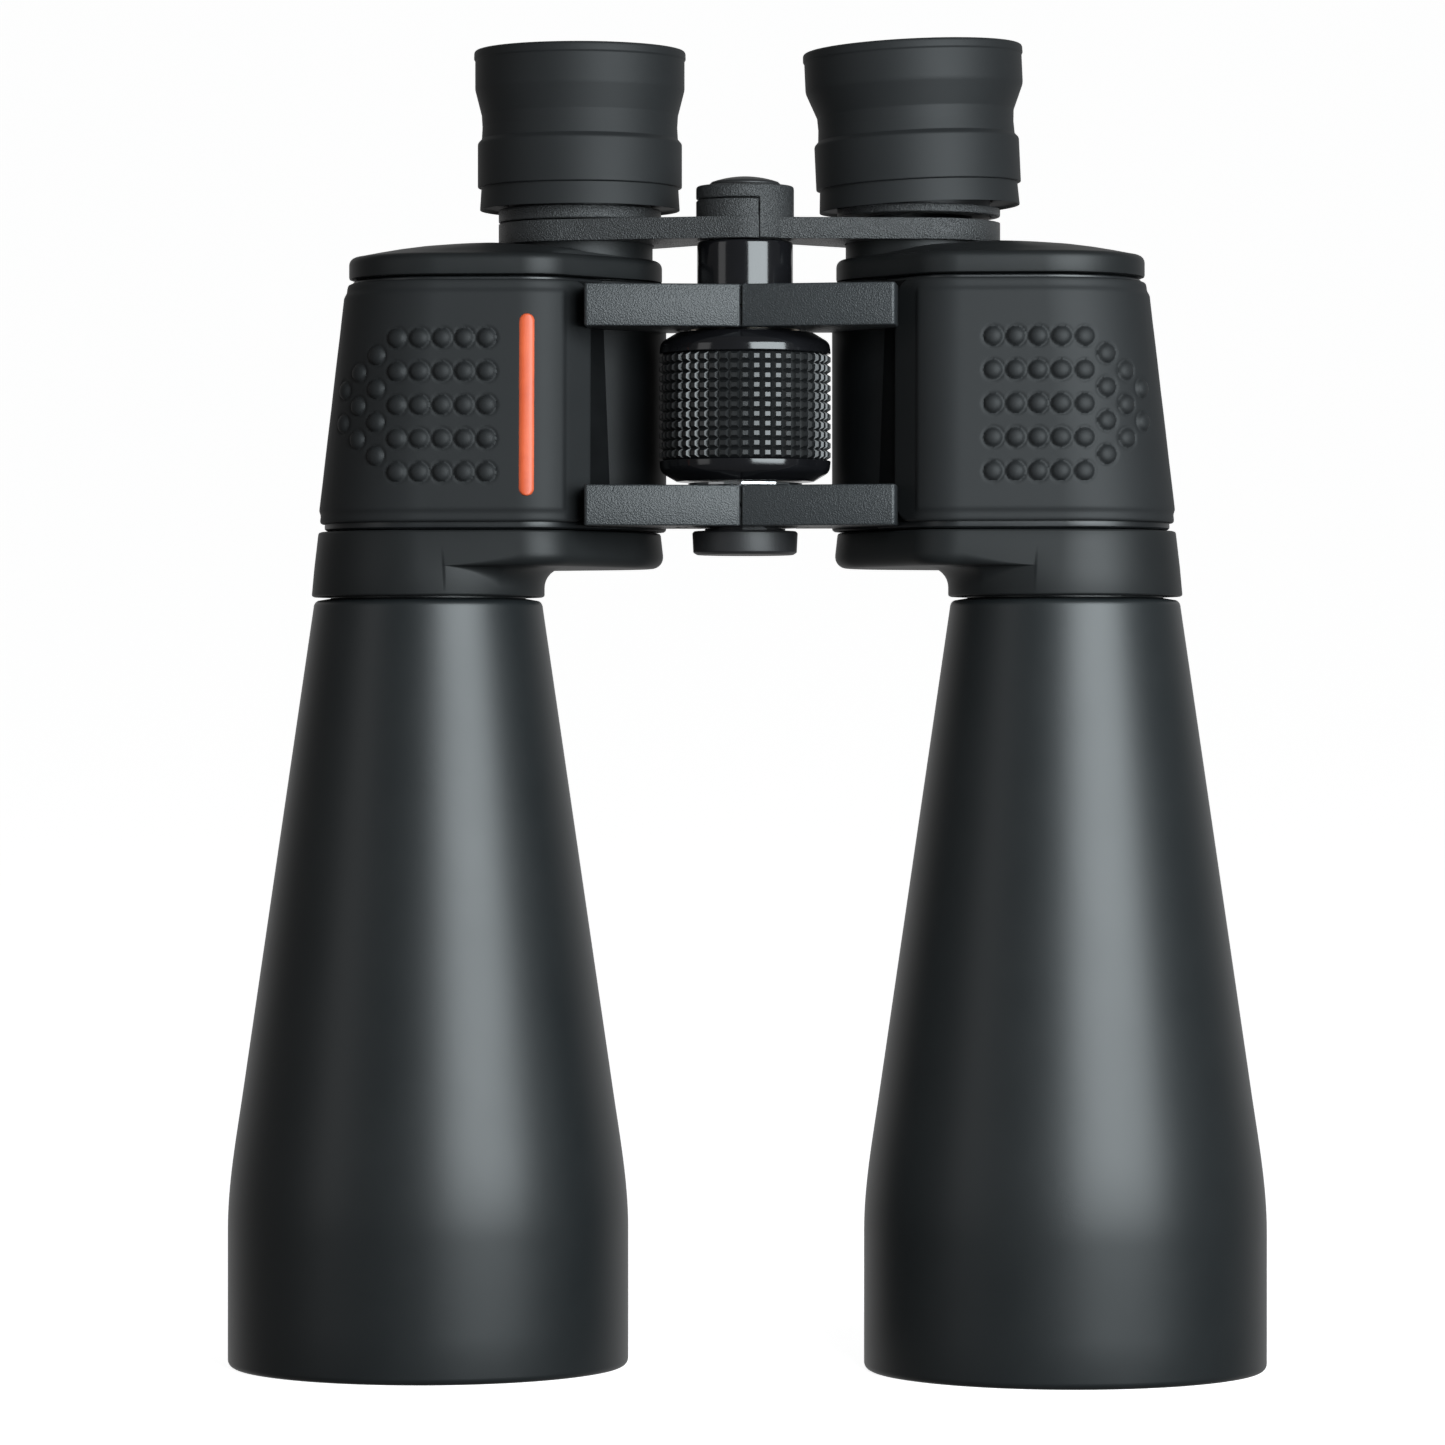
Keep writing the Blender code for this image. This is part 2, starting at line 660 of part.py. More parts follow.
def make_hinge_pieces():
    bush = tube("upper_hinge_bush", UPPER_BORE - GAP, PISTON_RADIUS + GAP, UPPER_ARM[0] + 0.1,
                UPPER_ARM[1], HINGE_AXIS, BRASS)
    axle = turned("lower_hinge_axle", [
        (0.0, AXLE_TOP),
        (AXLE_RADIUS, AXLE_TOP),
        (AXLE_RADIUS, LOWER_ARM[0] - GAP),
        (SOCKET_RADIUS, LOWER_ARM[0] - GAP),
        (SOCKET_RADIUS, SOCKET_SEAT),
        (SOCKET_BORE, SOCKET_SEAT),
        (SOCKET_BORE, SOCKET_SEAT + SOCKET_DEPTH),
        (0.0, SOCKET_SEAT + SOCKET_DEPTH),
    ], HINGE_AXIS, BRASS, SMALL_STEPS)
    washer = tube("focus_thrust_washer", 12.0, AXLE_RADIUS, AXLE_TOP + 0.4, KNOB_BOTTOM - GAP,
                  HINGE_AXIS, STEEL, SMALL_STEPS)
    return [bush, axle, washer]


def make_focus_knob():
    """Wheel with a plain rim at both ends and a band for the knurl between them."""
    low, high = KNOB_BAND
    root = KNOB_RADIUS - 0.9
    return turned("focus_knob", [
        (KNOB_RADIUS - 3.4, KNOB_TOP),
        (KNOB_RADIUS - 1.0, KNOB_TOP - 1.3),
        (KNOB_RADIUS - 0.2, KNOB_TOP - 3.4),
        (KNOB_RADIUS, high),
        (root + 0.4, high - 0.4),
        (root + 0.4, low + 0.4),
        (KNOB_RADIUS, low),
        (KNOB_RADIUS - 0.2, KNOB_BOTTOM + 3.4),
        (KNOB_RADIUS - 1.0, KNOB_BOTTOM + 1.3),
        (KNOB_RADIUS - 3.4, KNOB_BOTTOM),
        (SCREW_RADIUS + GAP, KNOB_BOTTOM),
        (SCREW_RADIUS + GAP, KNOB_SHELF),
        (PISTON_RADIUS + GAP, KNOB_SHELF),
        (PISTON_RADIUS + GAP, KNOB_TOP),
    ], HINGE_AXIS, GLOSS_PLASTIC, STEPS)


def make_focus_spindle():
    """Piston that carries the bridge, on the screw that the knob's nut drives."""
    hole = BRIDGE_SCREW_RADIUS + GAP
    return turned("focus_spindle", [
        (0.0, PISTON_TOP - 8),
        (hole, PISTON_TOP - 8),
        (hole, PISTON_TOP),
        (PISTON_RADIUS - 0.6, PISTON_TOP),
        (PISTON_RADIUS, PISTON_TOP - 0.6),
        (PISTON_RADIUS, PISTON_BOTTOM),
        (SCREW_RADIUS, PISTON_BOTTOM),
        (SCREW_RADIUS, SCREW_BOTTOM),
        (0.0, SCREW_BOTTOM),
    ], HINGE_AXIS, GLOSS_METAL, STEPS)


def bridge_plate_outline(sign):
    hub = (0.0, 0.0, HUB_RADIUS - GAP)
    ring = (EYEPIECE_AXIS.x, EYEPIECE_AXIS.y, EYE_RING_RADIUS)
    return hull([hub, ring], sign)


def bore_bridge(arm, side, sign):
    tube_hole = EYE_TUBE_RADIUS + GAP
    axis = axis_of(sign, EYEPIECE_AXIS)
    cut(arm, rod(f"bridge_eye_hole_{side}", tube_hole, BRIDGE_BOTTOM - 1, BRIDGE_TOP + 1, axis))
    screw_hole = BRIDGE_SCREW_RADIUS + GAP
    cut(arm, rod(f"bridge_screw_hole_{side}", screw_hole, BRIDGE_BOTTOM - 1, HUB_TOP + 1, HINGE_AXIS))


def make_left_bridge():
    """Arm with a hub core; its hub is full width only on the left, where the right arm never comes."""
    arm = plate("bridge_arm_left", bridge_plate_outline(-1), BRIDGE_BOTTOM, BRIDGE_TOP, CRINKLE)
    join(arm, rod("left_hub", HUB_RADIUS, BRIDGE_BOTTOM, HUB_MIDDLE_TOP, HINGE_AXIS))
    space = sector(FRONT_SPLIT_ANGLE - 1, LEFT_BACK_ANGLE, 60)
    cut(arm, plate("right_arm_space", space, BRIDGE_BOTTOM - 1, HUB_MIDDLE_TOP + 1))
    join(arm, rod("left_hub_core", HUB_CORE_RADIUS, BRIDGE_BOTTOM, HUB_MIDDLE_TOP, HINGE_AXIS))
    bore_bridge(arm, "left", -1)
    return arm


def make_right_bridge():
    """Arm whose web wraps the left hub's core and carries the top ring."""
    arm = plate("bridge_arm_right", bridge_plate_outline(1), BRIDGE_BOTTOM, BRIDGE_TOP, CRINKLE)
    join(arm, rod("right_hub", HUB_RADIUS, BRIDGE_BOTTOM, HUB_TOP, HINGE_AXIS))
    space = sector(RIGHT_BACK_ANGLE, 360 + FRONT_SPLIT_ANGLE, 60)
    top_ring = HUB_MIDDLE_TOP + 0.2
    cut(arm, plate("left_arm_space", space, BRIDGE_BOTTOM - 1, top_ring))
    cut(arm, rod("hub_core_space", HUB_CORE_RADIUS + GAP, BRIDGE_BOTTOM - 1, top_ring, HINGE_AXIS))
    bore_bridge(arm, "right", 1)
    return arm


def make_bridge_screw():
    radius = BRIDGE_SCREW_RADIUS
    head = HUB_TOP + 0.25
    return turned("bridge_screw", [
        (0.0, DOME_TOP),
        (DOME_RADIUS * 0.5, DOME_TOP - 0.3),
        (DOME_RADIUS, head + 0.7),
        (DOME_RADIUS, head),
        (radius, head),
        (radius, PISTON_TOP - 7),
        (0.0, PISTON_TOP - 7),
    ], HINGE_AXIS, BLACK_METAL, SMALL_STEPS)


def make_tripod_cap():
    inner = SOCKET_RADIUS + 0.4
    floor = SOCKET_SEAT - 0.4
    cap = turned("tripod_cap", [
        (0.0, floor),
        (inner, floor),
        (inner, CAP_TOP),
        (CAP_RADIUS - 0.3, CAP_TOP),
        (CAP_RADIUS, CAP_TOP - 0.5),
        (CAP_RADIUS - 0.2, CAP_BOTTOM + 0.4),
        (CAP_RADIUS - 0.6, CAP_BOTTOM),
        (0.0, CAP_BOTTOM),
    ], HINGE_AXIS, PLASTIC, STEPS)
    stud = rod("tripod_cap_stud", STUD_RADIUS, floor + 0.2, floor + STUD_LENGTH, HINGE_AXIS, STEEL,
               SMALL_STEPS)
    return cap, stud


# ---------------------------------------------------------------- assembly

clear_scene()
parts = make_collection("astronomy_binoculars")
cutters = make_collection("cutters")

PAINT = make_material("satin_black_paint", (0.025, 0.028, 0.03), 0.42)
CRINKLE = make_material("crinkle_black_paint", (0.05, 0.052, 0.055), 0.6)
RUBBER = make_material("black_rubber", (0.03, 0.031, 0.033), 0.75)
PLASTIC = make_material("matte_black_plastic", (0.025, 0.025, 0.026), 0.5)
GLOSS_PLASTIC = make_material("gloss_black_plastic", (0.012, 0.012, 0.013), 0.18)
GLOSS_METAL = make_material("gloss_black_metal", (0.015, 0.015, 0.016), 0.12, 0.6)
BLACK_METAL = make_material("blackened_aluminium", (0.03, 0.03, 0.03), 0.5, 0.5)
BRASS = make_material("brass", (0.72, 0.55, 0.27), 0.35, 1.0)
STEEL = make_material("steel", (0.55, 0.56, 0.57), 0.35, 1.0)
GLASS = make_material("coated_glass", (0.55, 0.6, 0.68), 0.05, 0.0, 0.35)

left_half = make_pivot("left_half", HINGE_AXIS)
right_half = make_pivot("right_half_hinge", HINGE_AXIS, left_half)
knob_pivot = make_pivot("focus_knob_axis", HINGE_AXIS, left_half)
carriage = make_pivot("focus_carriage_slide", HINGE_AXIS, left_half)
right_bridge_pivot = make_pivot("right_bridge_hinge", HINGE_AXIS, carriage)
ocular_slide = make_pivot("right_ocular_slide", EYEPIECE_AXIS, right_bridge_pivot)
diopter_pivot = make_pivot("diopter_axis", EYEPIECE_AXIS, ocular_slide)
stud_slide = make_pivot("tripod_stud_slide", HINGE_AXIS, left_half)
cap_pivot = make_pivot("tripod_cap_axis", HINGE_AXIS, stud_slide)

for side, sign in SIDES:
    half = left_half if sign < 0 else right_half
    bridge = carriage if sign < 0 else right_bridge_pivot
    fixed = [
        make_housing(side, sign),
        make_grip(side, sign),
        make_bottom_cover(side, sign),
        make_top_cover(side, sign),
        make_strap_lug(side, sign),
        make_barrel(side, sign),
        *make_objective(side, sign),
        *make_prisms(side, sign),
    ]
    for piece in fixed:
        place_under(piece, half)
    for piece in (make_eye_tube(side, sign), make_field_lens(side, sign)):
        place_under(piece, bridge)
    ocular, eye_lens, ring = make_ocular(side, sign, 0.0 if sign < 0 else DIOPTER_LIFT)
    eyecup = make_eyecup(side, sign)
    for piece in (ocular, eye_lens):
        place_under(piece, carriage if sign < 0 else ocular_slide)
    for piece in (ring, eyecup):
        place_under(piece, carriage if sign < 0 else diopter_pivot)

for piece in make_hinge_pieces():
    place_under(piece, left_half)
place_under(make_focus_knob(), knob_pivot)
for piece in (make_focus_spindle(), make_left_bridge(), make_bridge_screw()):
    place_under(piece, carriage)
place_under(make_right_bridge(), right_bridge_pivot)
tripod_cap, tripod_stud = make_tripod_cap()
place_under(tripod_cap, cap_pivot)
place_under(tripod_stud, stud_slide)

for tool in cutters.objects:
    place_under(tool, left_half)
left_half.location.y = -OBJECTIVE_AXIS.y * MM
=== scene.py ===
"""Looks of the astronomy binoculars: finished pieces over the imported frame, in metres, +Z up.

Shapes are worked out in millimetres for the right half and mirrored for the left. Axes and heights come
from the frame's own boxes; radii of edges, grooves and dimples are named below.
"""
import math

import bmesh
import bpy
from mathutils import Matrix, Vector


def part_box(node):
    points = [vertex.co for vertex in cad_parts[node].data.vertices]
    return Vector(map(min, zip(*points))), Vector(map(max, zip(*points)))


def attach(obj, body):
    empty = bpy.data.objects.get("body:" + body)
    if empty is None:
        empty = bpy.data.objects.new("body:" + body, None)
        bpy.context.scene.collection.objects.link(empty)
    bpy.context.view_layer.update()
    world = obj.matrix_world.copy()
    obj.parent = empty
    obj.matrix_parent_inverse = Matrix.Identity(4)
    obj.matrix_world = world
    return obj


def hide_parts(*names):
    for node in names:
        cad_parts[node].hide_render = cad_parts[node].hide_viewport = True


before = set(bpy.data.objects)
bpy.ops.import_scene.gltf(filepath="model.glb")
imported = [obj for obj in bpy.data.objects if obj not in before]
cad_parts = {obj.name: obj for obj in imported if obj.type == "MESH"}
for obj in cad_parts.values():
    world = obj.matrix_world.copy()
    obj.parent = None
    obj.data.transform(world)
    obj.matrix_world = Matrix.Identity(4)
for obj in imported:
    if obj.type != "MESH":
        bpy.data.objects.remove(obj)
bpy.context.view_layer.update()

MM = 0.001
SIDES = (("left", -1), ("right", 1))
ROUND = 144
SMALL_ROUND = 96


# ---------------------------------------------------------------- places, from the frame

def span(node):
    """Lowest and highest corner of a CAD node, in millimetres."""
    low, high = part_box(node)
    return [value / MM for value in low], [value / MM for value in high]


def axis_of(node):
    low, high = span(node)
    return Vector(((low[0] + high[0]) / 2, (low[1] + high[1]) / 2))


def heights(node):
    low, high = span(node)
    return low[2], high[2]


def half_width(node):
    low, high = span(node)
    return (high[0] - low[0]) / 2


def measures(node):
    """Lowest and highest point of a turned node, and its radius."""
    return (*heights(node), half_width(node))


OBJECTIVE = axis_of("objective_barrel_right")
EYE = axis_of("eyecup_right")
HINGE = axis_of("focus_knob")
HALFWAY = (OBJECTIVE + EYE) / 2
ACROSS = (OBJECTIVE - EYE) / 2
MIDDLE = HALFWAY + Vector((-ACROSS.y, ACROSS.x))


# ---------------------------------------------------------------- mesh helpers

def link(obj):
    bpy.context.scene.collection.objects.link(obj)
    return obj


def finish_piece(name, cage, material, sharp=38, sign=1):
    """Turn a bmesh in millimetres into a smooth-shaded object; sign -1 mirrors it to the left half."""
    bmesh.ops.scale(cage, vec=(sign * MM, MM, MM), verts=cage.verts)
    bmesh.ops.recalc_face_normals(cage, faces=cage.faces)
    mesh = bpy.data.meshes.new(name)
    cage.to_mesh(mesh)
    cage.free()
    mesh.materials.append(material)
    mesh.shade_smooth()
    mesh.set_sharp_from_angle(angle=math.radians(sharp))
    return link(bpy.data.objects.new(name, mesh))


def put(piece, body, slot, *nodes):
    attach(piece, body)
    if nodes:
        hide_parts(*nodes)
    return piece


def loft(rings, closed=False):
    """Skin over rings of (x, y, z) points; the ends are capped unless the last ring meets the first."""
    cage = bmesh.new()
    rows = [[cage.verts.new(point) for point in ring] for ring in rings]
    pairs = list(zip(rows, rows[1:]))
    if closed:
        pairs.append((rows[-1], rows[0]))
    for low, high in pairs:
        for i in range(len(low)):
            j = (i + 1) % len(low)
            cage.faces.new((low[i], low[j], high[j], high[i]))
    if not closed:
        cage.faces.new(rows[0][::-1])
        cage.faces.new(rows[-1])
    return cage


def rounded(profile, default=0.0, steps=4):
    """Profile of (radius, z) or (radius, z, fillet); each fillet becomes an arc of a few points."""
    result = []
    count = len(profile)
    for i, entry in enumerate(profile):
        corner = Vector(entry[:2])
        fillet = entry[2] if len(entry) > 2 else default
        before = Vector(profile[i - 1][:2]) - corner
        after = Vector(profile[(i + 1) % count][:2]) - corner
        if fillet <= 0 or before.length == 0 or after.length == 0:
            result.append(tuple(corner))
            continue
        half = before.angle(after) / 2
        back = min(fillet / math.tan(half), before.length * 0.49, after.length * 0.49)
        start = corner + before.normalized() * back
        end = corner + after.normalized() * back
        for step in range(steps + 1):
            t = step / steps
            point = start * (1 - t) ** 2 + corner * 2 * t * (1 - t) + end * t ** 2
            result.append((point.x, point.y))
    return result


def turned(name, profile, axis, material, sign=1, steps=ROUND, sharp=38):
    """Closed profile of (radius, z) turned about an upright axis."""
    cage = bmesh.new()
    columns = []
    for step in range(steps):
        angle = 2 * math.pi * step / steps
        cos, sin = math.cos(angle), math.sin(angle)
        columns.append([(axis.x + r * cos, axis.y + r * sin, z) for r, z in profile])
    rows = []
    for column in columns:
        rows.append([cage.verts.new(point) for point in column])
    for i in range(steps):
        here, there = rows[i], rows[(i + 1) % steps]
        for k in range(len(profile)):
            n = (k + 1) % len(profile)
            cage.faces.new((here[k], here[n], there[n], there[k]))
    bmesh.ops.remove_doubles(cage, verts=cage.verts, dist=0.0005)
    return finish_piece(name, cage, material, sharp, sign)


def hull(discs, count=200):
    """Outline of a belt pulled round discs of (x, y, radius), with about evenly spaced points."""
    corners = []
    for step in range(count):
        angle = 2 * math.pi * step / count
        normal = Vector((math.cos(angle), math.sin(angle)))
        x, y, radius = max(discs, key=lambda disc: disc[0] * normal.x + disc[1] * normal.y + disc[2])
        corners.append(Vector((x + radius * normal.x, y + radius * normal.y)))
    return corners


def reach(outline, origin, angle):
    """Distance from origin to the outline along this direction."""
    ray = Vector((math.cos(angle), math.sin(angle)))
    best = 0.0
    for i, start in enumerate(outline):
        edge = outline[(i + 1) % len(outline)] - start
        cross = ray.x * edge.y - ray.y * edge.x
        if abs(cross) < 1e-9:
            continue
        gap = start - origin
        along = (gap.x * edge.y - gap.y * edge.x) / cross
        part = (gap.x * ray.y - gap.y * ray.x) / cross
        if along > 0 and -1e-6 <= part <= 1 + 1e-6:
            best = max(best, along)
    return best


def slab(name, outline, low, high, material, sign=1, bevel=0.45, sharp=30):
    """Flat outline between two heights, with its sharp edges rounded."""
    clean = []
    for point in outline:
        point = Vector(point[:2])
        if not clean or (point - clean[-1]).length > 0.01:
            clean.append(point)
    if (clean[0] - clean[-1]).length < 0.01:
        clean.pop()
    cage = loft([[(p.x, p.y, low) for p in clean], [(p.x, p.y, high) for p in clean]])
    bmesh.ops.recalc_face_normals(cage, faces=cage.faces)
    edges = [edge for edge in cage.edges if edge.calc_face_angle(0) > math.radians(25)]
    bmesh.ops.bevel(cage, geom=edges, offset=bevel, segments=3, profile=0.5, affect="EDGES",
                    clamp_overlap=True)
    return finish_piece(name, cage, material, sharp, sign)


# ---------------------------------------------------------------- materials

def new_material(name, colour, roughness, metallic=0.0, **sockets):
    material = bpy.data.materials.new(name)
    material.use_nodes = True
    shader = principled(material)
    shader.inputs["Base Color"].default_value = (*colour, 1.0)
    shader.inputs["Roughness"].default_value = roughness
    shader.inputs["Metallic"].default_value = metallic
    for socket, value in sockets.items():
        shader.inputs[socket.replace("_", " ")].default_value = value
    return material


def add(material, kind, **values):
    node = material.node_tree.nodes.new(kind)
    for key, value in values.items():
        if key in node.inputs:
            node.inputs[key].default_value = value
        else:
            setattr(node, key, value)
    return node


def wire(material, source, output, target, socket):
    material.node_tree.links.new(source.outputs[output], target.inputs[socket])


def principled(material):
    return material.node_tree.nodes["Principled BSDF"]


def add_texture(material, kind, **values):
    """Procedural texture in the object's own coordinates."""
    coordinates = add(material, "ShaderNodeTexCoord")
    texture = add(material, kind, **values)
    wire(material, coordinates, "Object", texture, "Vector")
    return texture


def add_range(material, source, low, high):
    spread = add(material, "ShaderNodeMapRange")
    spread.inputs["To Min"].default_value = low
    spread.inputs["To Max"].default_value = high
    wire(material, source, "Fac", spread, "Value")
    wire(material, spread, "Result", principled(material), "Roughness")


def grain(material, scale, strength, distance, detail=3.0, kind="noise", chained=None):
    """Bump of a given grain size, in cells per metre; returns the bump node."""
    if kind == "cells":
        texture = add_texture(material, "ShaderNodeTexVoronoi", Scale=scale, feature="SMOOTH_F1")
        output = "Distance"
    else:
        texture = add_texture(material, "ShaderNodeTexNoise", Scale=scale, Detail=detail, Roughness=0.55)
        output = "Fac"
    bump = add(material, "ShaderNodeBump", Strength=strength, Distance=distance)
    wire(material, texture, output, bump, "Height")
    if chained is not None:
        wire(material, chained, "Normal", bump, "Normal")
    wire(material, bump, "Normal", principled(material), "Normal")
    return bump


def mottle(material, scale, dark, light, rough_low, rough_high):
    """Slow variation of colour and roughness over the surface."""
    texture = add_texture(material, "ShaderNodeTexNoise", Scale=scale, Detail=4.0, Roughness=0.6)
    colours = add(material, "ShaderNodeValToRGB")
    colours.color_ramp.elements[0].position = 0.3
    colours.color_ramp.elements[0].color = (*dark, 1.0)
    colours.color_ramp.elements[1].position = 0.7
    colours.color_ramp.elements[1].color = (*light, 1.0)
    wire(material, texture, "Fac", colours, "Fac")
    wire(material, colours, "Color", principled(material), "Base Color")
    add_range(material, texture, rough_low, rough_high)


def satin_paint():
    """Barrel paint: a satin blue-black with a very fine grain."""
    material = new_material("satin_paint", (0.0085, 0.0105, 0.0115), 0.42)
    mottle(material, 60, (0.008, 0.010, 0.011), (0.0095, 0.0115, 0.0125), 0.39, 0.45)
    fine = grain(material, 5200, 0.25, 0.00004, 2.0)
    grain(material, 900, 0.08, 0.00004, 3.0, chained=fine)
    return material


def cover_paint():
    """Moulded covers: the same black, flatter and smoother."""
    material = new_material("cover_paint", (0.009, 0.010, 0.0105), 0.5, Specular_IOR_Level=0.3)
    mottle(material, 80, (0.0082, 0.0092, 0.0097), (0.0098, 0.0108, 0.0113), 0.46, 0.54)
    grain(material, 6500, 0.2, 0.00003, 2.0)
    return material


def rubber():
    """Soft matte armour with a velvety surface."""
    material = new_material("armour_rubber", (0.011, 0.012, 0.0128), 0.62, Specular_IOR_Level=0.32)
    mottle(material, 45, (0.010, 0.011, 0.0118), (0.012, 0.013, 0.0138), 0.58, 0.66)
    fine = grain(material, 7500, 0.22, 0.00003, 2.0)
    grain(material, 260, 0.05, 0.0001, 3.0, chained=fine)
    return material


def crinkle(name, scale, strength, dark, light):
    """Wrinkle-finish paint: small hard bumps that catch the light."""
    material = new_material(name, light, 0.45)
    mottle(material, scale * 0.7, dark, light, 0.36, 0.52)
    cells = grain(material, scale, strength, 0.00022, kind="cells")
    grain(material, scale * 2.6, strength * 0.7, 0.00012, 2.0, chained=cells)
    return material


def gloss_black(name, colour=(0.006, 0.006, 0.007), roughness=0.12):
    material = new_material(name, colour, roughness)
    mottle(material, 90, [c * 0.85 for c in colour], [c * 1.2 for c in colour], roughness * 0.85,
           roughness * 1.2)
    grain(material, 1200, 0.04, 0.00002, 2.0)
    return material


def machined(name, colour, roughness, metallic=1.0):
    """Turned metal: rings of fine tool marks across the axis."""
    material = new_material(name, colour, roughness, metallic)
    mottle(material, 300, [c * 0.85 for c in colour], [min(1.0, c * 1.1) for c in colour],
           roughness * 0.85, roughness * 1.2)
    marks = add_texture(material, "ShaderNodeTexWave", Scale=900.0, Distortion=1.5, bands_direction="Z")
    bump = add(material, "ShaderNodeBump", Strength=0.15, Distance=0.00002)
    wire(material, marks, "Fac", bump, "Height")
    wire(material, bump, "Normal", principled(material), "Normal")
    return material


def optical_glass(name, tint):
    material = new_material(name, (1.0, 1.0, 1.0), 0.02, IOR=1.52, Transmission_Weight=1.0,
                            Coat_Weight=0.6, Coat_Roughness=0.03)
    shader = principled(material)
    shader.inputs["Coat Tint"].default_value = (*tint, 1.0)
    shader.inputs["Specular Tint"].default_value = (*tint, 1.0)
    add_range(material, add_texture(material, "ShaderNodeTexNoise", Scale=25.0), 0.015, 0.03)
    return material


PAINT = satin_paint()
COVER = cover_paint()
RUBBER = rubber()
# Black paint made much darker than the other paints: painted shade for the recess walls between the arms and
# behind the knob, where little light reaches.
PAINTED_SHADE_WALL = new_material("wall_painted_shade", (0.004, 0.0043, 0.0047), 0.5, Specular_IOR_Level=0.12)
mottle(PAINTED_SHADE_WALL, 150, (0.0034, 0.0037, 0.004), (0.0046, 0.005, 0.0054), 0.45, 0.55)
grain(PAINTED_SHADE_WALL, 3800, 0.25, 0.00005, 2.0)
ARM_PAINT = crinkle("arm_crinkle", 3400, 0.45, (0.016, 0.018, 0.0195), (0.027, 0.030, 0.0322))
BRIDGE_PAINT = crinkle("bridge_crinkle", 3600, 0.9, (0.016, 0.0165, 0.017), (0.038, 0.0395, 0.041))
GLOSS = gloss_black("gloss_knob")
KNURL = gloss_black("knurl_plastic", (0.009, 0.0095, 0.010), 0.33)
BAND = gloss_black("gloss_band", (0.008, 0.009, 0.010), 0.4)
PLASTIC = new_material("cap_plastic", (0.016, 0.016, 0.017), 0.48)
mottle(PLASTIC, 120, (0.014, 0.014, 0.015), (0.02, 0.02, 0.021), 0.44, 0.55)
grain(PLASTIC, 4200, 0.3, 0.00005, 2.0)
BLACK_METAL = machined("black_anodised", (0.02, 0.02, 0.021), 0.45, 0.4)
BRASS = machined("turned_brass", (0.72, 0.52, 0.25), 0.3)
STEEL = machined("brushed_steel", (0.5, 0.51, 0.52), 0.3)
GLASS = optical_glass("coated_glass", (0.62, 0.72, 1.0))
ACCENT = new_material("orange_inlay", (0.60, 0.09, 0.025), 0.42)
mottle(ACCENT, 200, (0.54, 0.075, 0.02), (0.64, 0.105, 0.032), 0.38, 0.5)
grain(ACCENT, 3000, 0.15, 0.00004, 2.0)


# ---------------------------------------------------------------- objective end

def make_barrel(side, sign):
    """Slender cone on a wide rim: cylinder, a slow curve, a straight cone and a rounded shoulder."""
    node = f"objective_barrel_{side}"
    bottom, spigot_top = heights(node)
    rim = half_width(node)
    seam = heights(f"bottom_cover_{side}")[0] - 0.3
    straight, curve_end = 29.0, 58.0
    slope, cone_start = -0.1457, 39.1
    bore, spigot = 18.6, 20.6
    drop, soft, foot_height = 2.0, 1.3, 1.4
    profile = [(bore, spigot_top), (spigot, spigot_top), (spigot, seam)]
    shoulder = cone_start + slope * (seam - drop - curve_end)
    for step in range(7):
        angle = math.pi / 2 * (1 - step / 6)
        profile.append((shoulder - soft + soft * math.cos(angle), seam - drop + 1.6 * math.sin(angle)))
    for step in range(1, 25):
        t = step / 24
        z = seam - drop + (curve_end - seam + drop) * t
        profile.append((cone_start + slope * (z - curve_end), z))
    length = curve_end - straight
    for step in range(1, 17):
        t = 1 - step / 16
        ease = cone_start * (3 * t * t - 2 * t ** 3) + rim * (1 - 3 * t * t + 2 * t ** 3)
        profile.append((ease + slope * length * (t ** 3 - t * t), straight + length * t))
    foot = bottom + foot_height
    profile += [(rim, 20.0), (rim, 10.0), (rim, foot)]
    for step in range(1, 6):
        angle = math.pi / 2 * step / 5
        profile.append((rim - soft + soft * math.cos(angle), foot - foot_height * math.sin(angle)))
    profile += [(39.9, bottom), (39.7, bottom + 0.4)]
    for groove in range(5):
        z = bottom + 1.5 + groove
        profile += [(39.6, z - 0.4), (39.2, z), (39.6, z + 0.4)]
    profile += [(39.6, bottom + 7.0), (39.6, 31.0), (37.0, curve_end), (bore, spigot_top - 14)]
    piece = turned(f"barrel_{side}", profile, OBJECTIVE, PAINT, sign, ROUND)
    put(piece, BODY[side], "satin_paint", node)


def lens_profile(radius, low, low_curve, high, high_curve, rings=10):
    def sag(r, curve):
        return math.copysign(abs(curve) - math.sqrt(curve * curve - r * r), curve)
    profile = [(radius * i / rings, high - sag(radius * i / rings, high_curve)) for i in range(rings + 1)]
    profile += [(radius * i / rings, low + sag(radius * i / rings, low_curve)) for i in range(rings, -1, -1)]
    return profile


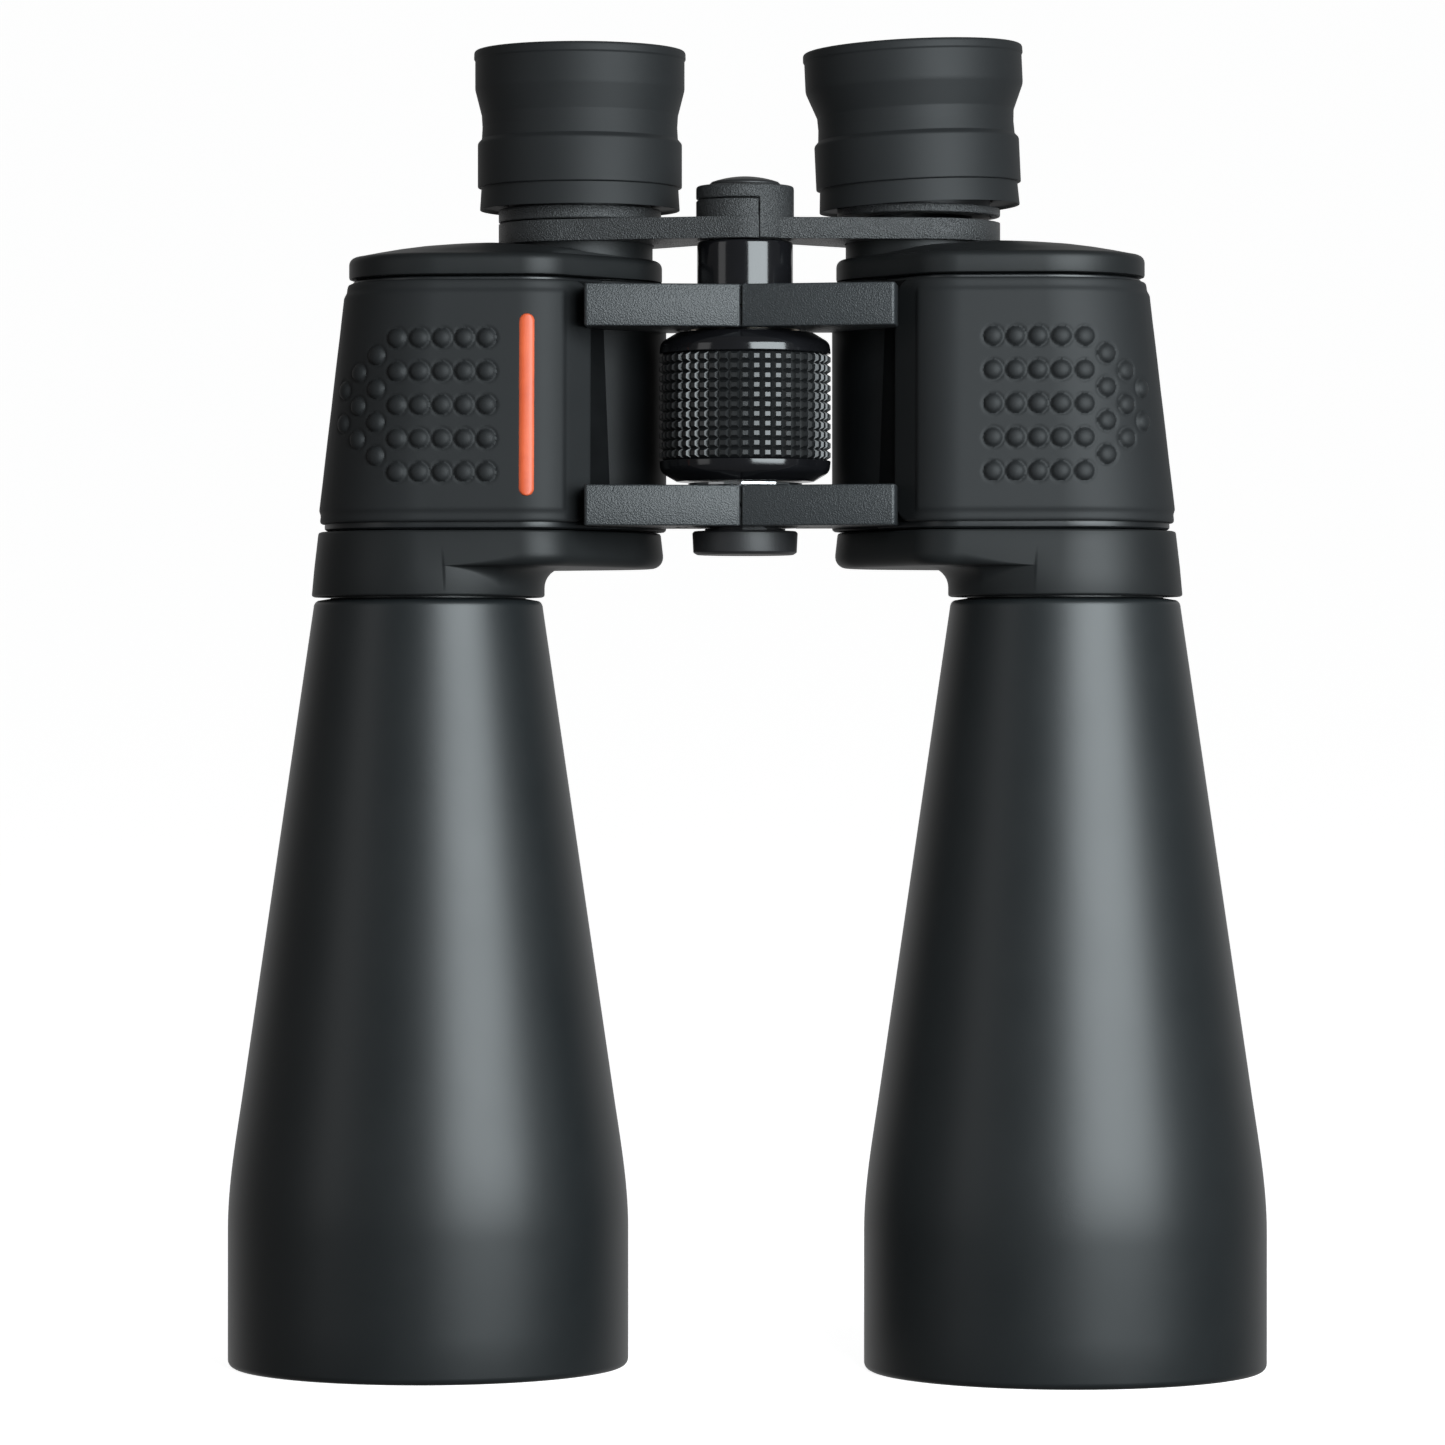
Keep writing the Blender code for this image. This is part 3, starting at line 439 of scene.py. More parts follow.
def make_objective(side, sign):
    node = f"objective_crown_lens_{side}"
    low, high, radius = measures(node)
    crown = turned(f"crown_lens_{side}", lens_profile(radius, low, 180, high, 130), OBJECTIVE, GLASS, sign,
                   SMALL_ROUND)
    put(crown, BODY[side], "glass", node)
    node = f"objective_retaining_ring_{side}"
    low, high = heights(node)
    ring = turned(f"retaining_ring_{side}", rounded([
        (radius, high), (radius, low), (radius - 0.9, low, 0.15), (radius - 1.2, low + 0.3, 0.1),
        (radius - 2.0, low + 0.3, 0.2), (radius - 2.0, high),
    ]), OBJECTIVE, BLACK_METAL, sign, SMALL_ROUND)
    put(ring, BODY[side], "black_metal", node)
    node = f"objective_cell_{side}"
    low, high, outer = measures(node)
    seat, stop = 36.9, 34.5
    cell = turned(f"lens_cell_{side}", rounded([
        (outer, high, 0.4), (outer, low, 0.4), (seat, low, 0.2), (seat, high - 2.2), (stop, high - 2.2, 0.2),
        (stop, high, 0.2),
    ]), OBJECTIVE, BLACK_METAL, sign, SMALL_ROUND)
    put(cell, BODY[side], "black_metal", node)


# ---------------------------------------------------------------- prism housing and covers

HOUSING_LOW, HOUSING_HIGH = heights("prism_housing_right")
GUIDE_HOLE = half_width("eyepiece_tube_right") + 0.1  # in the lid, for the sliding eyepiece
GRIP_LOW, GRIP_HIGH = heights("grip_panel_right")
EYE_WALL = 18.4
MIDDLE_WALL = 15.4
FRONT_CORNER = 46.0
CORNER = 11.6
FLANK_ANGLE = math.radians(215.7)
KNEE = 25.6
KNEE_ROUND = 1.6
KNEE_CENTRE = Vector((1.3, 0.93))  # from the flank to the centre of its rounded end
ARM_FRONT = 14.6
ARM_ROOT = 31.9
KNUCKLE = 13.2
ARM_LEVELS = (("lower", 176.9, 185.4, 7.9), ("upper", 218.4, 227.3, 11.8))  # lowest, highest, bore radius
ARM_BACK = 9.5
ARM_GAP = 0.2  # between the two halves' arms, each side of the middle


def wall_discs(z, grow=0.0):
    """Objective and middle discs of the housing's leaning wall at this height."""
    rise = (z - HOUSING_LOW) / (HOUSING_HIGH - HOUSING_LOW)
    radius = 22.0 - 1.9 * rise
    return [
        (OBJECTIVE.x - 4.3 * rise, OBJECTIVE.y, radius + grow),
        (MIDDLE.x, MIDDLE.y, MIDDLE_WALL + grow),
    ]


def eye_disc(grow=0.0):
    return (EYE.x, EYE.y, EYE_WALL + grow)


def front_corner(z, grow=0.0):
    """Wide round corner where the front face turns back towards the eyepiece."""
    _, y, radius = wall_discs(z)[0]
    return (FRONT_CORNER, y - radius + CORNER, CORNER + grow)


def flank(z, x):
    """Point of the flat flank behind the front corner, at this x."""
    centre_x, centre_y, radius = front_corner(z)
    normal = Vector((math.cos(FLANK_ANGLE), math.sin(FLANK_ANGLE)))
    along = Vector((normal.y, -normal.x))
    start = Vector((centre_x, centre_y)) + normal * radius
    return start + along * ((x - start.x) / along.x)


def ring_at(outline, z):
    return [(point.x, point.y, z) for point in outline]


def make_housing(side, sign):
    """Painted casting: the wall under the grip, and the round wall behind the eyepiece; both take the very
    dark wall paint, which is black paint darkened further as painted shade for the recess between the arms.
    """
    levels = [(HOUSING_LOW, -0.5), (HOUSING_LOW + 0.3, -0.1), (HOUSING_LOW + 0.8, 0.0)]
    levels += [(GRIP_LOW + (GRIP_HIGH - GRIP_LOW) * k / 6, 0.0) for k in range(7)]
    levels += [(HOUSING_HIGH - 0.3, 0.0), (HOUSING_HIGH, -0.5)]
    front = []
    back = []
    for z, grow in levels:
        discs = wall_discs(z, grow)
        corner = front_corner(z, grow)
        knee = (*(flank(z, KNEE) + KNEE_CENTRE), KNEE_ROUND + grow)
        front.append(ring_at(hull([*discs, corner, knee]), z))
        back.append(ring_at(hull([eye_disc(grow), discs[1]]), z))
    node = f"prism_housing_{side}"
    wall = finish_piece(f"housing_wall_{side}", loft(front), PAINTED_SHADE_WALL, 30, sign)
    wall.data.materials.append(BAND)
    for face in wall.data.polygons:
        if not GRIP_LOW < face.center.z / MM < GRIP_HIGH:
            face.material_index = 1
    put(wall, BODY[side], "crinkle_paint", node)
    barrel = finish_piece(f"housing_eye_wall_{side}", loft(back), PAINTED_SHADE_WALL, 30, sign)
    put(barrel, BODY[side], "crinkle_paint", node)


def hinge_arm_outline():
    """Arm from the middle of the hinge to the housing, as seen from above."""
    front = HINGE.y - ARM_FRONT
    return [
        (ARM_GAP, front), (ARM_ROOT, front - 5.0), (32.4, front - 4.5), (32.6, HINGE.y - 8.5),
        (26.5, HINGE.y - 0.5), (21.5, HINGE.y + 6.0), (20.0, HINGE.y + ARM_BACK),
    ]


def arm_with_space(radius):
    """The arm's outline where the other half's knuckle turns: a round bay about the hinge axis."""
    outline = hinge_arm_outline()
    edge = math.acos(ARM_GAP / radius)
    end = math.asin(ARM_BACK / radius)
    bay = []
    for step in range(41):
        angle = end + (-edge - end) * step / 40
        bay.append((HINGE.x + radius * math.cos(angle), HINGE.y + radius * math.sin(angle)))
    return outline + bay


def make_hinge_arms(side, sign):
    for label, low, high, bore in ARM_LEVELS:
        middle = (low + high) / 2
        outline = arm_with_space(KNUCKLE + 0.3)
        arm = slab(f"hinge_arm_{label}_{side}", outline, low, high, ARM_PAINT, sign, 0.35, 30)
        put(arm, BODY[side], "crinkle_paint", f"prism_housing_{side}")
        own = (low, middle - 0.15) if sign < 0 else (middle + 0.15, high)
        ring = turned(f"knuckle_{label}_{side}", rounded([
            (KNUCKLE, own[1], 0.4), (KNUCKLE, own[0], 0.4), (bore, own[0], 0.2), (bore, own[1], 0.2),
        ]), HINGE, ARM_PAINT, sign, SMALL_ROUND)
        put(ring, BODY[side], "crinkle_paint", f"prism_housing_{side}")
        web = sector_ring(-88, 46, KNUCKLE - 1.0, KNUCKLE + 1.5)
        join = slab(f"knuckle_web_{label}_{side}", web, own[0], own[1], ARM_PAINT, sign, 0.1, 30)
        put(join, BODY[side], "crinkle_paint", f"prism_housing_{side}")


def sector_ring(start, end, inner, outer, steps=36):
    """Outline of a bent strip about the hinge axis, between two radii and two angles in degrees."""
    outline = []
    for radius, first, last in ((outer, start, end), (inner, end, start)):
        for step in range(steps + 1):
            angle = math.radians(first + (last - first) * step / steps)
            outline.append((HINGE.x + radius * math.cos(angle), HINGE.y + radius * math.sin(angle)))
    return outline


def make_bottom_cover(side, sign):
    """Lower shell: a round collar that swells out into the flange under the housing."""
    node = f"bottom_cover_{side}"
    low, high = heights(node)
    flange = low + 6.2
    collar, edge, fillet, flare = 24.6, 2.9, 4.2, 1.6
    overhang = 1.2
    rim = wall_discs(HOUSING_LOW, overhang)
    outline = hull([*rim, eye_disc(-overhang), front_corner(HOUSING_LOW, overhang / 2)], 720)
    count = 288
    angles = [2 * math.pi * k / count for k in range(count)]
    spread = [reach(outline, OBJECTIVE, angle) for angle in angles]
    rings = []

    def add_ring(radius_and_height):
        ring = []
        for angle, distance in zip(angles, spread):
            radius, z = radius_and_height(distance)
            ring.append((OBJECTIVE.x + radius * math.cos(angle), OBJECTIVE.y + radius * math.sin(angle), z))
        rings.append(ring)

    def wall(distance, z):
        return distance + flare * (high - z) / (high - low)

    def base(distance, z):
        return min(wall(distance, z), collar)

    def share(distance):
        return min(1.0, max(0.0, wall(distance, flange) - collar) / (edge + fillet))

    add_ring(lambda distance: (base(distance, low) - 0.5, low))
    add_ring(lambda distance: (base(distance, low) - 0.1, low + 0.2))
    add_ring(lambda distance: (base(distance, low), low + 0.5))
    for step in range(9):
        turn = math.pi / 2 * step / 8

        def hollow(distance):
            z = flange - fillet * share(distance) * (1 - math.sin(turn))
            return base(distance, z) + fillet * share(distance) * (1 - math.cos(turn)), z

        add_ring(hollow)
    for step in range(9):
        turn = math.pi / 2 * step / 8

        def nose(distance):
            z = flange + edge * share(distance) * (1 - math.cos(turn))
            return wall(distance, z) - edge * share(distance) * (1 - math.sin(turn)), z

        add_ring(nose)
    for z in (flange + edge + 1.5, high - 0.5):
        add_ring(lambda distance: (wall(distance, z), z))
    add_ring(lambda distance: (distance - 0.1, high - 0.15))
    add_ring(lambda distance: (distance - 0.5, high))
    cage = loft(rings)
    bmesh.ops.remove_doubles(cage, verts=cage.verts, dist=0.002)
    cover = finish_piece(f"lower_shell_{side}", cage, COVER, 50, sign)
    put(cover, BODY[side], "satin_paint", node)


def make_top_cover(side, sign):
    """Lid with a soft edge, a low dome between the two axes and the hole that the eyepiece slides in."""
    node = f"top_cover_{side}"
    low, high = heights(node)
    overhang = 0.9
    outer = [*wall_discs(HOUSING_HIGH, overhang), eye_disc(-overhang), front_corner(HOUSING_HIGH, 0.7)]
    goal = (EYE.x, EYE.y, 15.9)
    dome_rise, dome_start, dome_width = 2.6, 17.0, 12.0

    def lid(shrink, drawn):
        return hull([tuple(a + (b - a) * drawn for a, b in zip((x, y, radius - shrink), goal))
                     for x, y, radius in outer])

    def dome(point, rise):
        away = (Vector(point[:2]) - EYE).length
        climb = min(max((away - dome_start) / dome_width, 0.0), 1.0)
        return rise * climb * climb * (3 - 2 * climb)

    soft = 1.6
    edge_levels = ((0.5, low), (0.1, low + 0.15), (0.0, low + 0.5), (0.0, high - soft))
    rings = [ring_at(lid(shrink, 0.0), z) for shrink, z in edge_levels]
    for step in range(1, 6):
        angle = math.pi / 2 * step / 5
        rings.append(ring_at(lid(soft * (1 - math.cos(angle)), 0.0), high - soft + soft * math.sin(angle)))
    for step in range(1, 9):
        drawn = step / 8
        shape = lid(soft, drawn * 0.97)
        rise = dome_rise * math.sin(math.pi / 2 * min(1.0, drawn * 1.6))
        rings.append([(p.x, p.y, high + dome(p, rise)) for p in shape])
    for height in (high, low):
        bore = []
        for x, y, _ in rings[-1]:
            edge = EYE + (Vector((x, y)) - EYE).normalized() * GUIDE_HOLE
            bore.append((edge.x, edge.y, height))
        rings.append(bore)
    cover = finish_piece(f"lid_{side}", loft(rings, True), COVER, 40, sign)
    put(cover, BODY[side], "satin_paint", node)


# ---------------------------------------------------------------- rubber grip

GRIP_EDGE = 32.7
GRIP_END = 58
FOLD = 7.6
GRIP_THICK = 0.8
FIELD_RISE = 0.45
DIMPLE_RADIUS = 1.85
DIMPLE_RISE = 0.9
DIMPLE_ROW = 7.0
DIMPLE_COLUMN = 4.65
DIMPLE_FIRST = 24.3
CREASE_WIDTH = 0.6
CREASE_DEPTH = 0.22
STAND_OFF = 0.3
BACK_GAP = 0.15
FINE = 0.34  # mesh pitch over the dimples


def dimple_centres(middle):
    """Places (along the panel, height): five full columns, then four, three and two dots."""
    centres = []
    for column in range(5):
        for row in range(5):
            centres.append((DIMPLE_FIRST + column * DIMPLE_COLUMN, middle + (row - 2) * DIMPLE_ROW))
    for extra, count in enumerate((4, 3, 2)):
        for row in range(count):
            along = DIMPLE_FIRST + (5 + extra) * DIMPLE_COLUMN
            centres.append((along, middle + (row - (count - 1) / 2) * DIMPLE_ROW))
    return centres


class GripWall:
    """The strip that the grip lies on, measured along its outline at one height."""

    def __init__(self, z):
        discs = [front_corner(z), *wall_discs(z)]
        self.points = [flank(z, GRIP_EDGE)]
        self.normals = [Vector((math.cos(FLANK_ANGLE), math.sin(FLANK_ANGLE)))]
        last = math.radians(360 + GRIP_END)
        previous = None
        for step in range(97):
            angle = FLANK_ANGLE + (last - FLANK_ANGLE) * step / 96
            normal = Vector((math.cos(angle), math.sin(angle)))
            reaches = [x * normal.x + y * normal.y + radius for x, y, radius in discs]
            chosen = reaches.index(max(reaches))
            if previous is not None and chosen != previous:
                x, y, radius = discs[previous]
                self.add(Vector((x, y)) + normal * radius, normal)
            x, y, radius = discs[chosen]
            self.add(Vector((x, y)) + normal * radius, normal)
            previous = chosen
        self.lengths = [0.0]
        for before, after in zip(self.points, self.points[1:]):
            self.lengths.append(self.lengths[-1] + (after - before).length)

    def add(self, point, normal):
        self.points.append(point)
        self.normals.append(normal)

    def at(self, along):
        """Point and outward normal this far along the strip."""
        for k in range(len(self.lengths) - 1):
            if along <= self.lengths[k + 1] or k == len(self.lengths) - 2:
                step = self.lengths[k + 1] - self.lengths[k]
                t = (along - self.lengths[k]) / step if step > 0 else 0.0
                normal = self.normals[k].lerp(self.normals[k + 1], t).normalized()
                return self.points[k].lerp(self.points[k + 1], t), normal


def spaced(start, end, pitch):
    count = max(1, round((end - start) / pitch))
    return [start + (end - start) * k / count for k in range(count)]


def smooth_step(value, low, high):
    t = min(max((value - low) / (high - low), 0.0), 1.0)
    return t * t * (3 - 2 * t)


def grip_relief(along, z, centres):
    """Height of the surface over the wall: raised field, soft border and round dimples."""
    border = min(z - GRIP_LOW, GRIP_HIGH - z)
    field = smooth_step(along, FOLD, FOLD + 1.3) * smooth_step(border, 1.6, 3.0)
    edge = min(border, along + 0.35)
    rise = GRIP_THICK * min(1.0, 0.35 + 0.65 * math.sqrt(min(1.0, max(edge, 0.0) / 0.5)))
    rise += FIELD_RISE * field
    for centre_along, centre_z in centres:
        if abs(along - centre_along) > 3 or abs(z - centre_z) > 3:
            continue
        away = math.hypot(along - centre_along, z - centre_z)
        if away < DIMPLE_RADIUS:
            rise += DIMPLE_RISE * (1 - (away / DIMPLE_RADIUS) ** 2) ** 0.55
        elif away < DIMPLE_RADIUS + CREASE_WIDTH:
            rise -= CREASE_DEPTH * math.sin(math.pi * (away - DIMPLE_RADIUS) / CREASE_WIDTH)
    return rise


def make_grip(side, sign):
    node = f"grip_panel_{side}"
    middle = (GRIP_LOW + GRIP_HIGH) / 2 - 1.0
    centres = dimple_centres(middle)
    dots_end = DIMPLE_FIRST + 7 * DIMPLE_COLUMN + 3.2
    walls = {}
    total = GripWall(middle).lengths[-1]
    alongs = spaced(0, FOLD + 2, 0.4) + spaced(FOLD + 2, DIMPLE_FIRST - 3, 0.8)
    alongs += spaced(DIMPLE_FIRST - 3, dots_end, FINE) + spaced(dots_end, total, 2.0) + [total]
    low_dot, high_dot = middle - 2 * DIMPLE_ROW - 3, middle + 2 * DIMPLE_ROW + 3
    ups = [GRIP_LOW, GRIP_LOW + 0.15, GRIP_LOW + 0.35] + spaced(GRIP_LOW + 0.7, GRIP_LOW + 3.6, 0.4)
    ups += spaced(GRIP_LOW + 3.6, low_dot, 1.0) + spaced(low_dot, high_dot, FINE)
    ups += spaced(high_dot, GRIP_HIGH - 3.6, 1.0) + spaced(GRIP_HIGH - 3.6, GRIP_HIGH - 0.5, 0.4)
    ups += [GRIP_HIGH - 0.35, GRIP_HIGH - 0.15, GRIP_HIGH]
    corner = 5.0
    cage = bmesh.new()
    skin = []
    for along in alongs:
        drop = 0.0
        if along < corner:
            drop = corner - math.sqrt(corner * corner - (corner - along) ** 2)
        column = []
        for z in ups:
            share = (z - middle) / ((GRIP_HIGH if z > middle else GRIP_LOW) - middle)
            held = z + (-drop if z > middle else drop) * share ** 6
            key = round(held, 2)
            if key not in walls:
                walls[key] = GripWall(held)
            wall = walls[key]
            point, normal = wall.at(along)
            place = point + normal * (STAND_OFF + grip_relief(along, z, centres))
            column.append(cage.verts.new((place.x, place.y, held)))
        skin.append(column)
    for here, there in zip(skin, skin[1:]):
        for k in range(len(ups) - 1):
            cage.faces.new((here[k], there[k], there[k + 1], here[k + 1]))
    close_back(cage, skin, walls, alongs)
    grip = finish_piece(f"grip_{side}", cage, RUBBER, 60, sign)
    put(grip, BODY[side], "rubber", node)
    return middle


def close_back(cage, skin, walls, alongs):
    """Skirt round the sheet and strips over its back, close to the housing's wall."""
    def backed(vertex, along):
        wall = walls[round(vertex.co.z, 2)]
        point, normal = wall.at(along)
        place = point + normal * BACK_GAP
        return cage.verts.new((place.x, place.y, vertex.co.z))

    low = [backed(column[0], along) for column, along in zip(skin, alongs)]
    high = [backed(column[-1], along) for column, along in zip(skin, alongs)]
    for k in range(len(skin) - 1):
        cage.faces.new((skin[k][0], low[k], low[k + 1], skin[k + 1][0]))
        cage.faces.new((skin[k][-1], skin[k + 1][-1], high[k + 1], high[k]))
        cage.faces.new((low[k], high[k], high[k + 1], low[k + 1]))
    cage.faces.new([low[0]] + skin[0] + [high[0]])
    cage.faces.new([high[-1]] + skin[-1][::-1] + [low[-1]])


def make_accent(middle):
    """Plain orange bar inlaid in the left grip."""
    length, width, height = 38.0, 3.0, 0.5
    along = 16.1
    rows = []
    for k in range(61):
        share = (1 - math.cos(math.pi * k / 60)) / 2
        z = middle - length / 2 + length * share
        from_end = min(share, 1 - share) * length
        half = width / 2 * math.sqrt(max(0.0, 1 - max(0.0, 1 - from_end / (width / 2)) ** 2))
        half = max(half, 0.15)
        wall = GripWall(z)
        row = []
        for m in range(9):
            across = (m / 8 - 0.5) * 2
            point, normal = wall.at(along + across * half)
            crown = height * (1 - across ** 4) * min(1.0, half / 0.8)
            place = point + normal * (STAND_OFF + GRIP_THICK + FIELD_RISE - 0.1 + crown)
            row.append((place.x, place.y, z))
        for m in (8, 0):
            point, normal = wall.at(along + (1 if m else -1) * half)
            place = point + normal * (GRIP_THICK + FIELD_RISE - 0.3)
            row.append((place.x, place.y, z))
        rows.append(row)
    bar = finish_piece("accent_bar", loft(rows), ACCENT, 50, -1)
    put(bar, BODY["left"], "rubber")


# ---------------------------------------------------------------- eyepieces

def make_eyecup(side, sign):
    """Soft rubber cup: foot, wide band, waist and a flared, rolled lip."""
    node = f"eyecup_{side}"
    low, high = heights(node)
    top = 22.3 if sign < 0 else 23.1
    profile = rounded([
        (15.5, low + 0.4, 0.3), (20.7, low + 0.1, 0.5), (21.3, low - 0.8, 0.6), (21.0, 249.3, 0.15),
        (21.0, 249.55, 0.1), (21.75, 249.65, 0.3), (21.75, 259.0, 1.0), (20.9, 259.95, 0.3),
        (20.75, 262.5, 1.5), (20.9, 265.0, 1.5), (top, 270.5, 3.5), (top, 276.6, 0.5),
        (top + 0.25, 277.0, 0.5), (top + 0.2, high, 0.8), (20.4, high, 0.6), (19.6, 270.0, 2.0),
        (17.2, 266.0, 1.0), (15.5, 264.2, 0.5),
    ], 0.0, 6)
    cup = turned(f"eyecup_{side}_rubber", profile, EYE, RUBBER, sign, ROUND, 50)
    if sign > 0:
        pivot = Vector((EYE.x * MM, EYE.y * MM, (low + 4.0) * MM))
        tilt = Matrix.Rotation(math.radians(-2.6), 4, "Y")
        cup.data.transform(Matrix.Translation(pivot) @ tilt @ Matrix.Translation(-pivot))
    put(cup, EYE_BODY[side], "rubber", node)


def make_eyepiece(side, sign):
    ring_node = "diopter_ring" if sign > 0 else "eyepiece_collar_left"
    low, high, radius = measures(ring_node)
    ring = turned(f"eye_ring_{side}", rounded([
        (15.5, high), (radius, high, 0.4), (radius, low, 0.4), (15.5, low),
    ]), EYE, BRIDGE_PAINT, sign, SMALL_ROUND)
    put(ring, EYE_BODY[side], "satin_paint", ring_node)
    node = f"eyepiece_tube_{side}"
    low, high, radius = measures(node)
    tube = turned(f"eye_tube_{side}", rounded([
        (radius, high, 0.2), (radius, low, 0.3), (12.3, low, 0.2), (12.3, low + 1.5), (13.5, low + 1.5),
        (13.5, high),
    ]), EYE, COVER, sign, SMALL_ROUND)
    put(tube, BRIDGE_BODY[side], "satin_paint", node)
    node = f"ocular_housing_{side}"
    low, high, radius = measures(node)
    housing = turned(f"ocular_{side}", rounded([
        (radius, high, 0.6), (radius, low), (11.4, low), (11.4, low + 8), (12.4, low + 8),
        (12.4, high - 1.3), (10.8, high, 0.3),
    ]), EYE, BLACK_METAL, sign, SMALL_ROUND)
    put(housing, OCULAR_BODY[side], "black_metal", node)
    node = f"eye_lens_{side}"
    low, high, radius = measures(node)
    eye_lens = turned(f"eye_glass_{side}", lens_profile(radius, low, 60, high, 34), EYE, GLASS, sign,
                      SMALL_ROUND)
    put(eye_lens, OCULAR_BODY[side], "glass", node)


# ---------------------------------------------------------------- bridge

HUB = 10.3
RING = 17.3
CORE = 7.6
SCREW_BORE = 4.3
EYE_HOLE = 15.8


def arm_outline(front, back, core):
    """Bridge arm as seen from above, between two angles about the hinge axis, in degrees."""
    belt = hull([(HINGE.x, HINGE.y, HUB), (EYE.x, EYE.y, RING)], 720)
    edge = []
    for point in belt:
        angle = math.degrees(math.atan2(point.y - HINGE.y, point.x - HINGE.x))
        if front <= angle <= back:
            edge.append((angle, point))
    edge.sort(key=lambda item: item[0])
    start = HINGE + Vector((math.cos(math.radians(front)), math.sin(math.radians(front)))) * HUB
    line = [start] if front < -79 else []
    line += [point for _, point in edge]
    for step in range(25):
        angle = math.radians(back + (front - back) * step / 24)
        line.append(HINGE + Vector((math.cos(angle), math.sin(angle))) * core)
    return line


def cut_eye_hole(arm, sign, low, high):
    """Round hole for the eyepiece, cut right through the plate."""
    profile = [(0.001, low - 2), (0.001, high + 2), (EYE_HOLE, high + 2), (EYE_HOLE, low - 2)]
    hole = turned(arm.name + "_hole", profile, EYE, BRIDGE_PAINT, sign, SMALL_ROUND)
    modifier = arm.modifiers.new("eye_hole", "BOOLEAN")
    modifier.operation = "DIFFERENCE"
    modifier.object = hole
    bpy.context.view_layer.update()
    mesh = bpy.data.meshes.new_from_object(arm.evaluated_get(bpy.context.evaluated_depsgraph_get()))
    arm.modifiers.clear()
    arm.data = mesh
    mesh.shade_smooth()
    mesh.set_sharp_from_angle(angle=math.radians(30))
    bpy.data.objects.remove(hole, do_unlink=True)


def make_bridge():
    low, high = heights("bridge_arm_left")
    top = heights("bridge_arm_right")[1]
    plate_top = low + 4.5
    right = ("right_bridge", "crinkle_paint", "bridge_arm_right")
    left = ("carriage", "crinkle_paint", "bridge_arm_left")
    arm = slab("bridge_plate_right", arm_outline(-69, 60, CORE + 0.3), low, plate_top, BRIDGE_PAINT, 1, 0.4)
    cut_eye_hole(arm, 1, low, plate_top)
    put(arm, *right)
    boss = slab("bridge_boss_right", sector_ring(-69, 60, CORE + 0.3, HUB), low + 0.1, top - 0.9,
                BRIDGE_PAINT, 1, 0.2)
    put(boss, *right)
    cap = turned("bridge_ring_right", rounded([
        (HUB, top, 0.7), (HUB, high + 0.25, 0.4), (SCREW_BORE, high + 0.25), (SCREW_BORE, top),
    ]), HINGE, BRIDGE_PAINT, 1, SMALL_ROUND)
    put(cap, *right)
    arm = slab("bridge_plate_left", arm_outline(-110, 72, CORE - 1.0), low, plate_top, BRIDGE_PAINT, -1, 0.4)
    cut_eye_hole(arm, -1, low, plate_top)
    put(arm, *left)
    boss = slab("bridge_boss_left", sector_ring(-110, 72, CORE - 1.0, HUB), plate_top - 0.5, high,
                BRIDGE_PAINT, -1, 0.3)
    put(boss, *left)
    core = turned("bridge_core_left", rounded([
        (CORE, high), (CORE, low), (SCREW_BORE, low), (SCREW_BORE, high),
    ]), HINGE, BRIDGE_PAINT, 1, SMALL_ROUND)
    put(core, *left)
    low, high, radius = measures("bridge_screw")
    rim = top + 0.2
    dome = [(0.0, high)]
    for step in range(1, 9):
        share = step / 8
        dome.append((radius * 0.95 * share, rim + 0.7 + (high - rim - 0.7) * (1 - share * share)))
    dome += rounded([(radius, rim + 0.5, 0.3), (radius, rim, 0.2), (4.0, rim), (4.0, low)])
    dome += [(0.0, low)]
    screw = turned("bridge_dome", dome, HINGE, PLASTIC, 1, SMALL_ROUND)
    put(screw, "carriage", "black_metal", "bridge_screw")


# ---------------------------------------------------------------- focusing gear and socket

def make_spindle():
    low, high, radius = measures("focus_spindle")
    profile = rounded([
        (4.3, high), (radius - 0.1, high, 0.9), (radius, high - 1.2), (radius, low + 16), (5.0, low + 16),
        (5.0, low), (0.0, low), (0.0, high - 8), (4.3, high - 8),
    ], 0.0, 5)
    spindle = turned("spindle", profile, HINGE, GLOSS, 1, ROUND)
    put(spindle, "carriage", "gloss_metal", "focus_spindle")


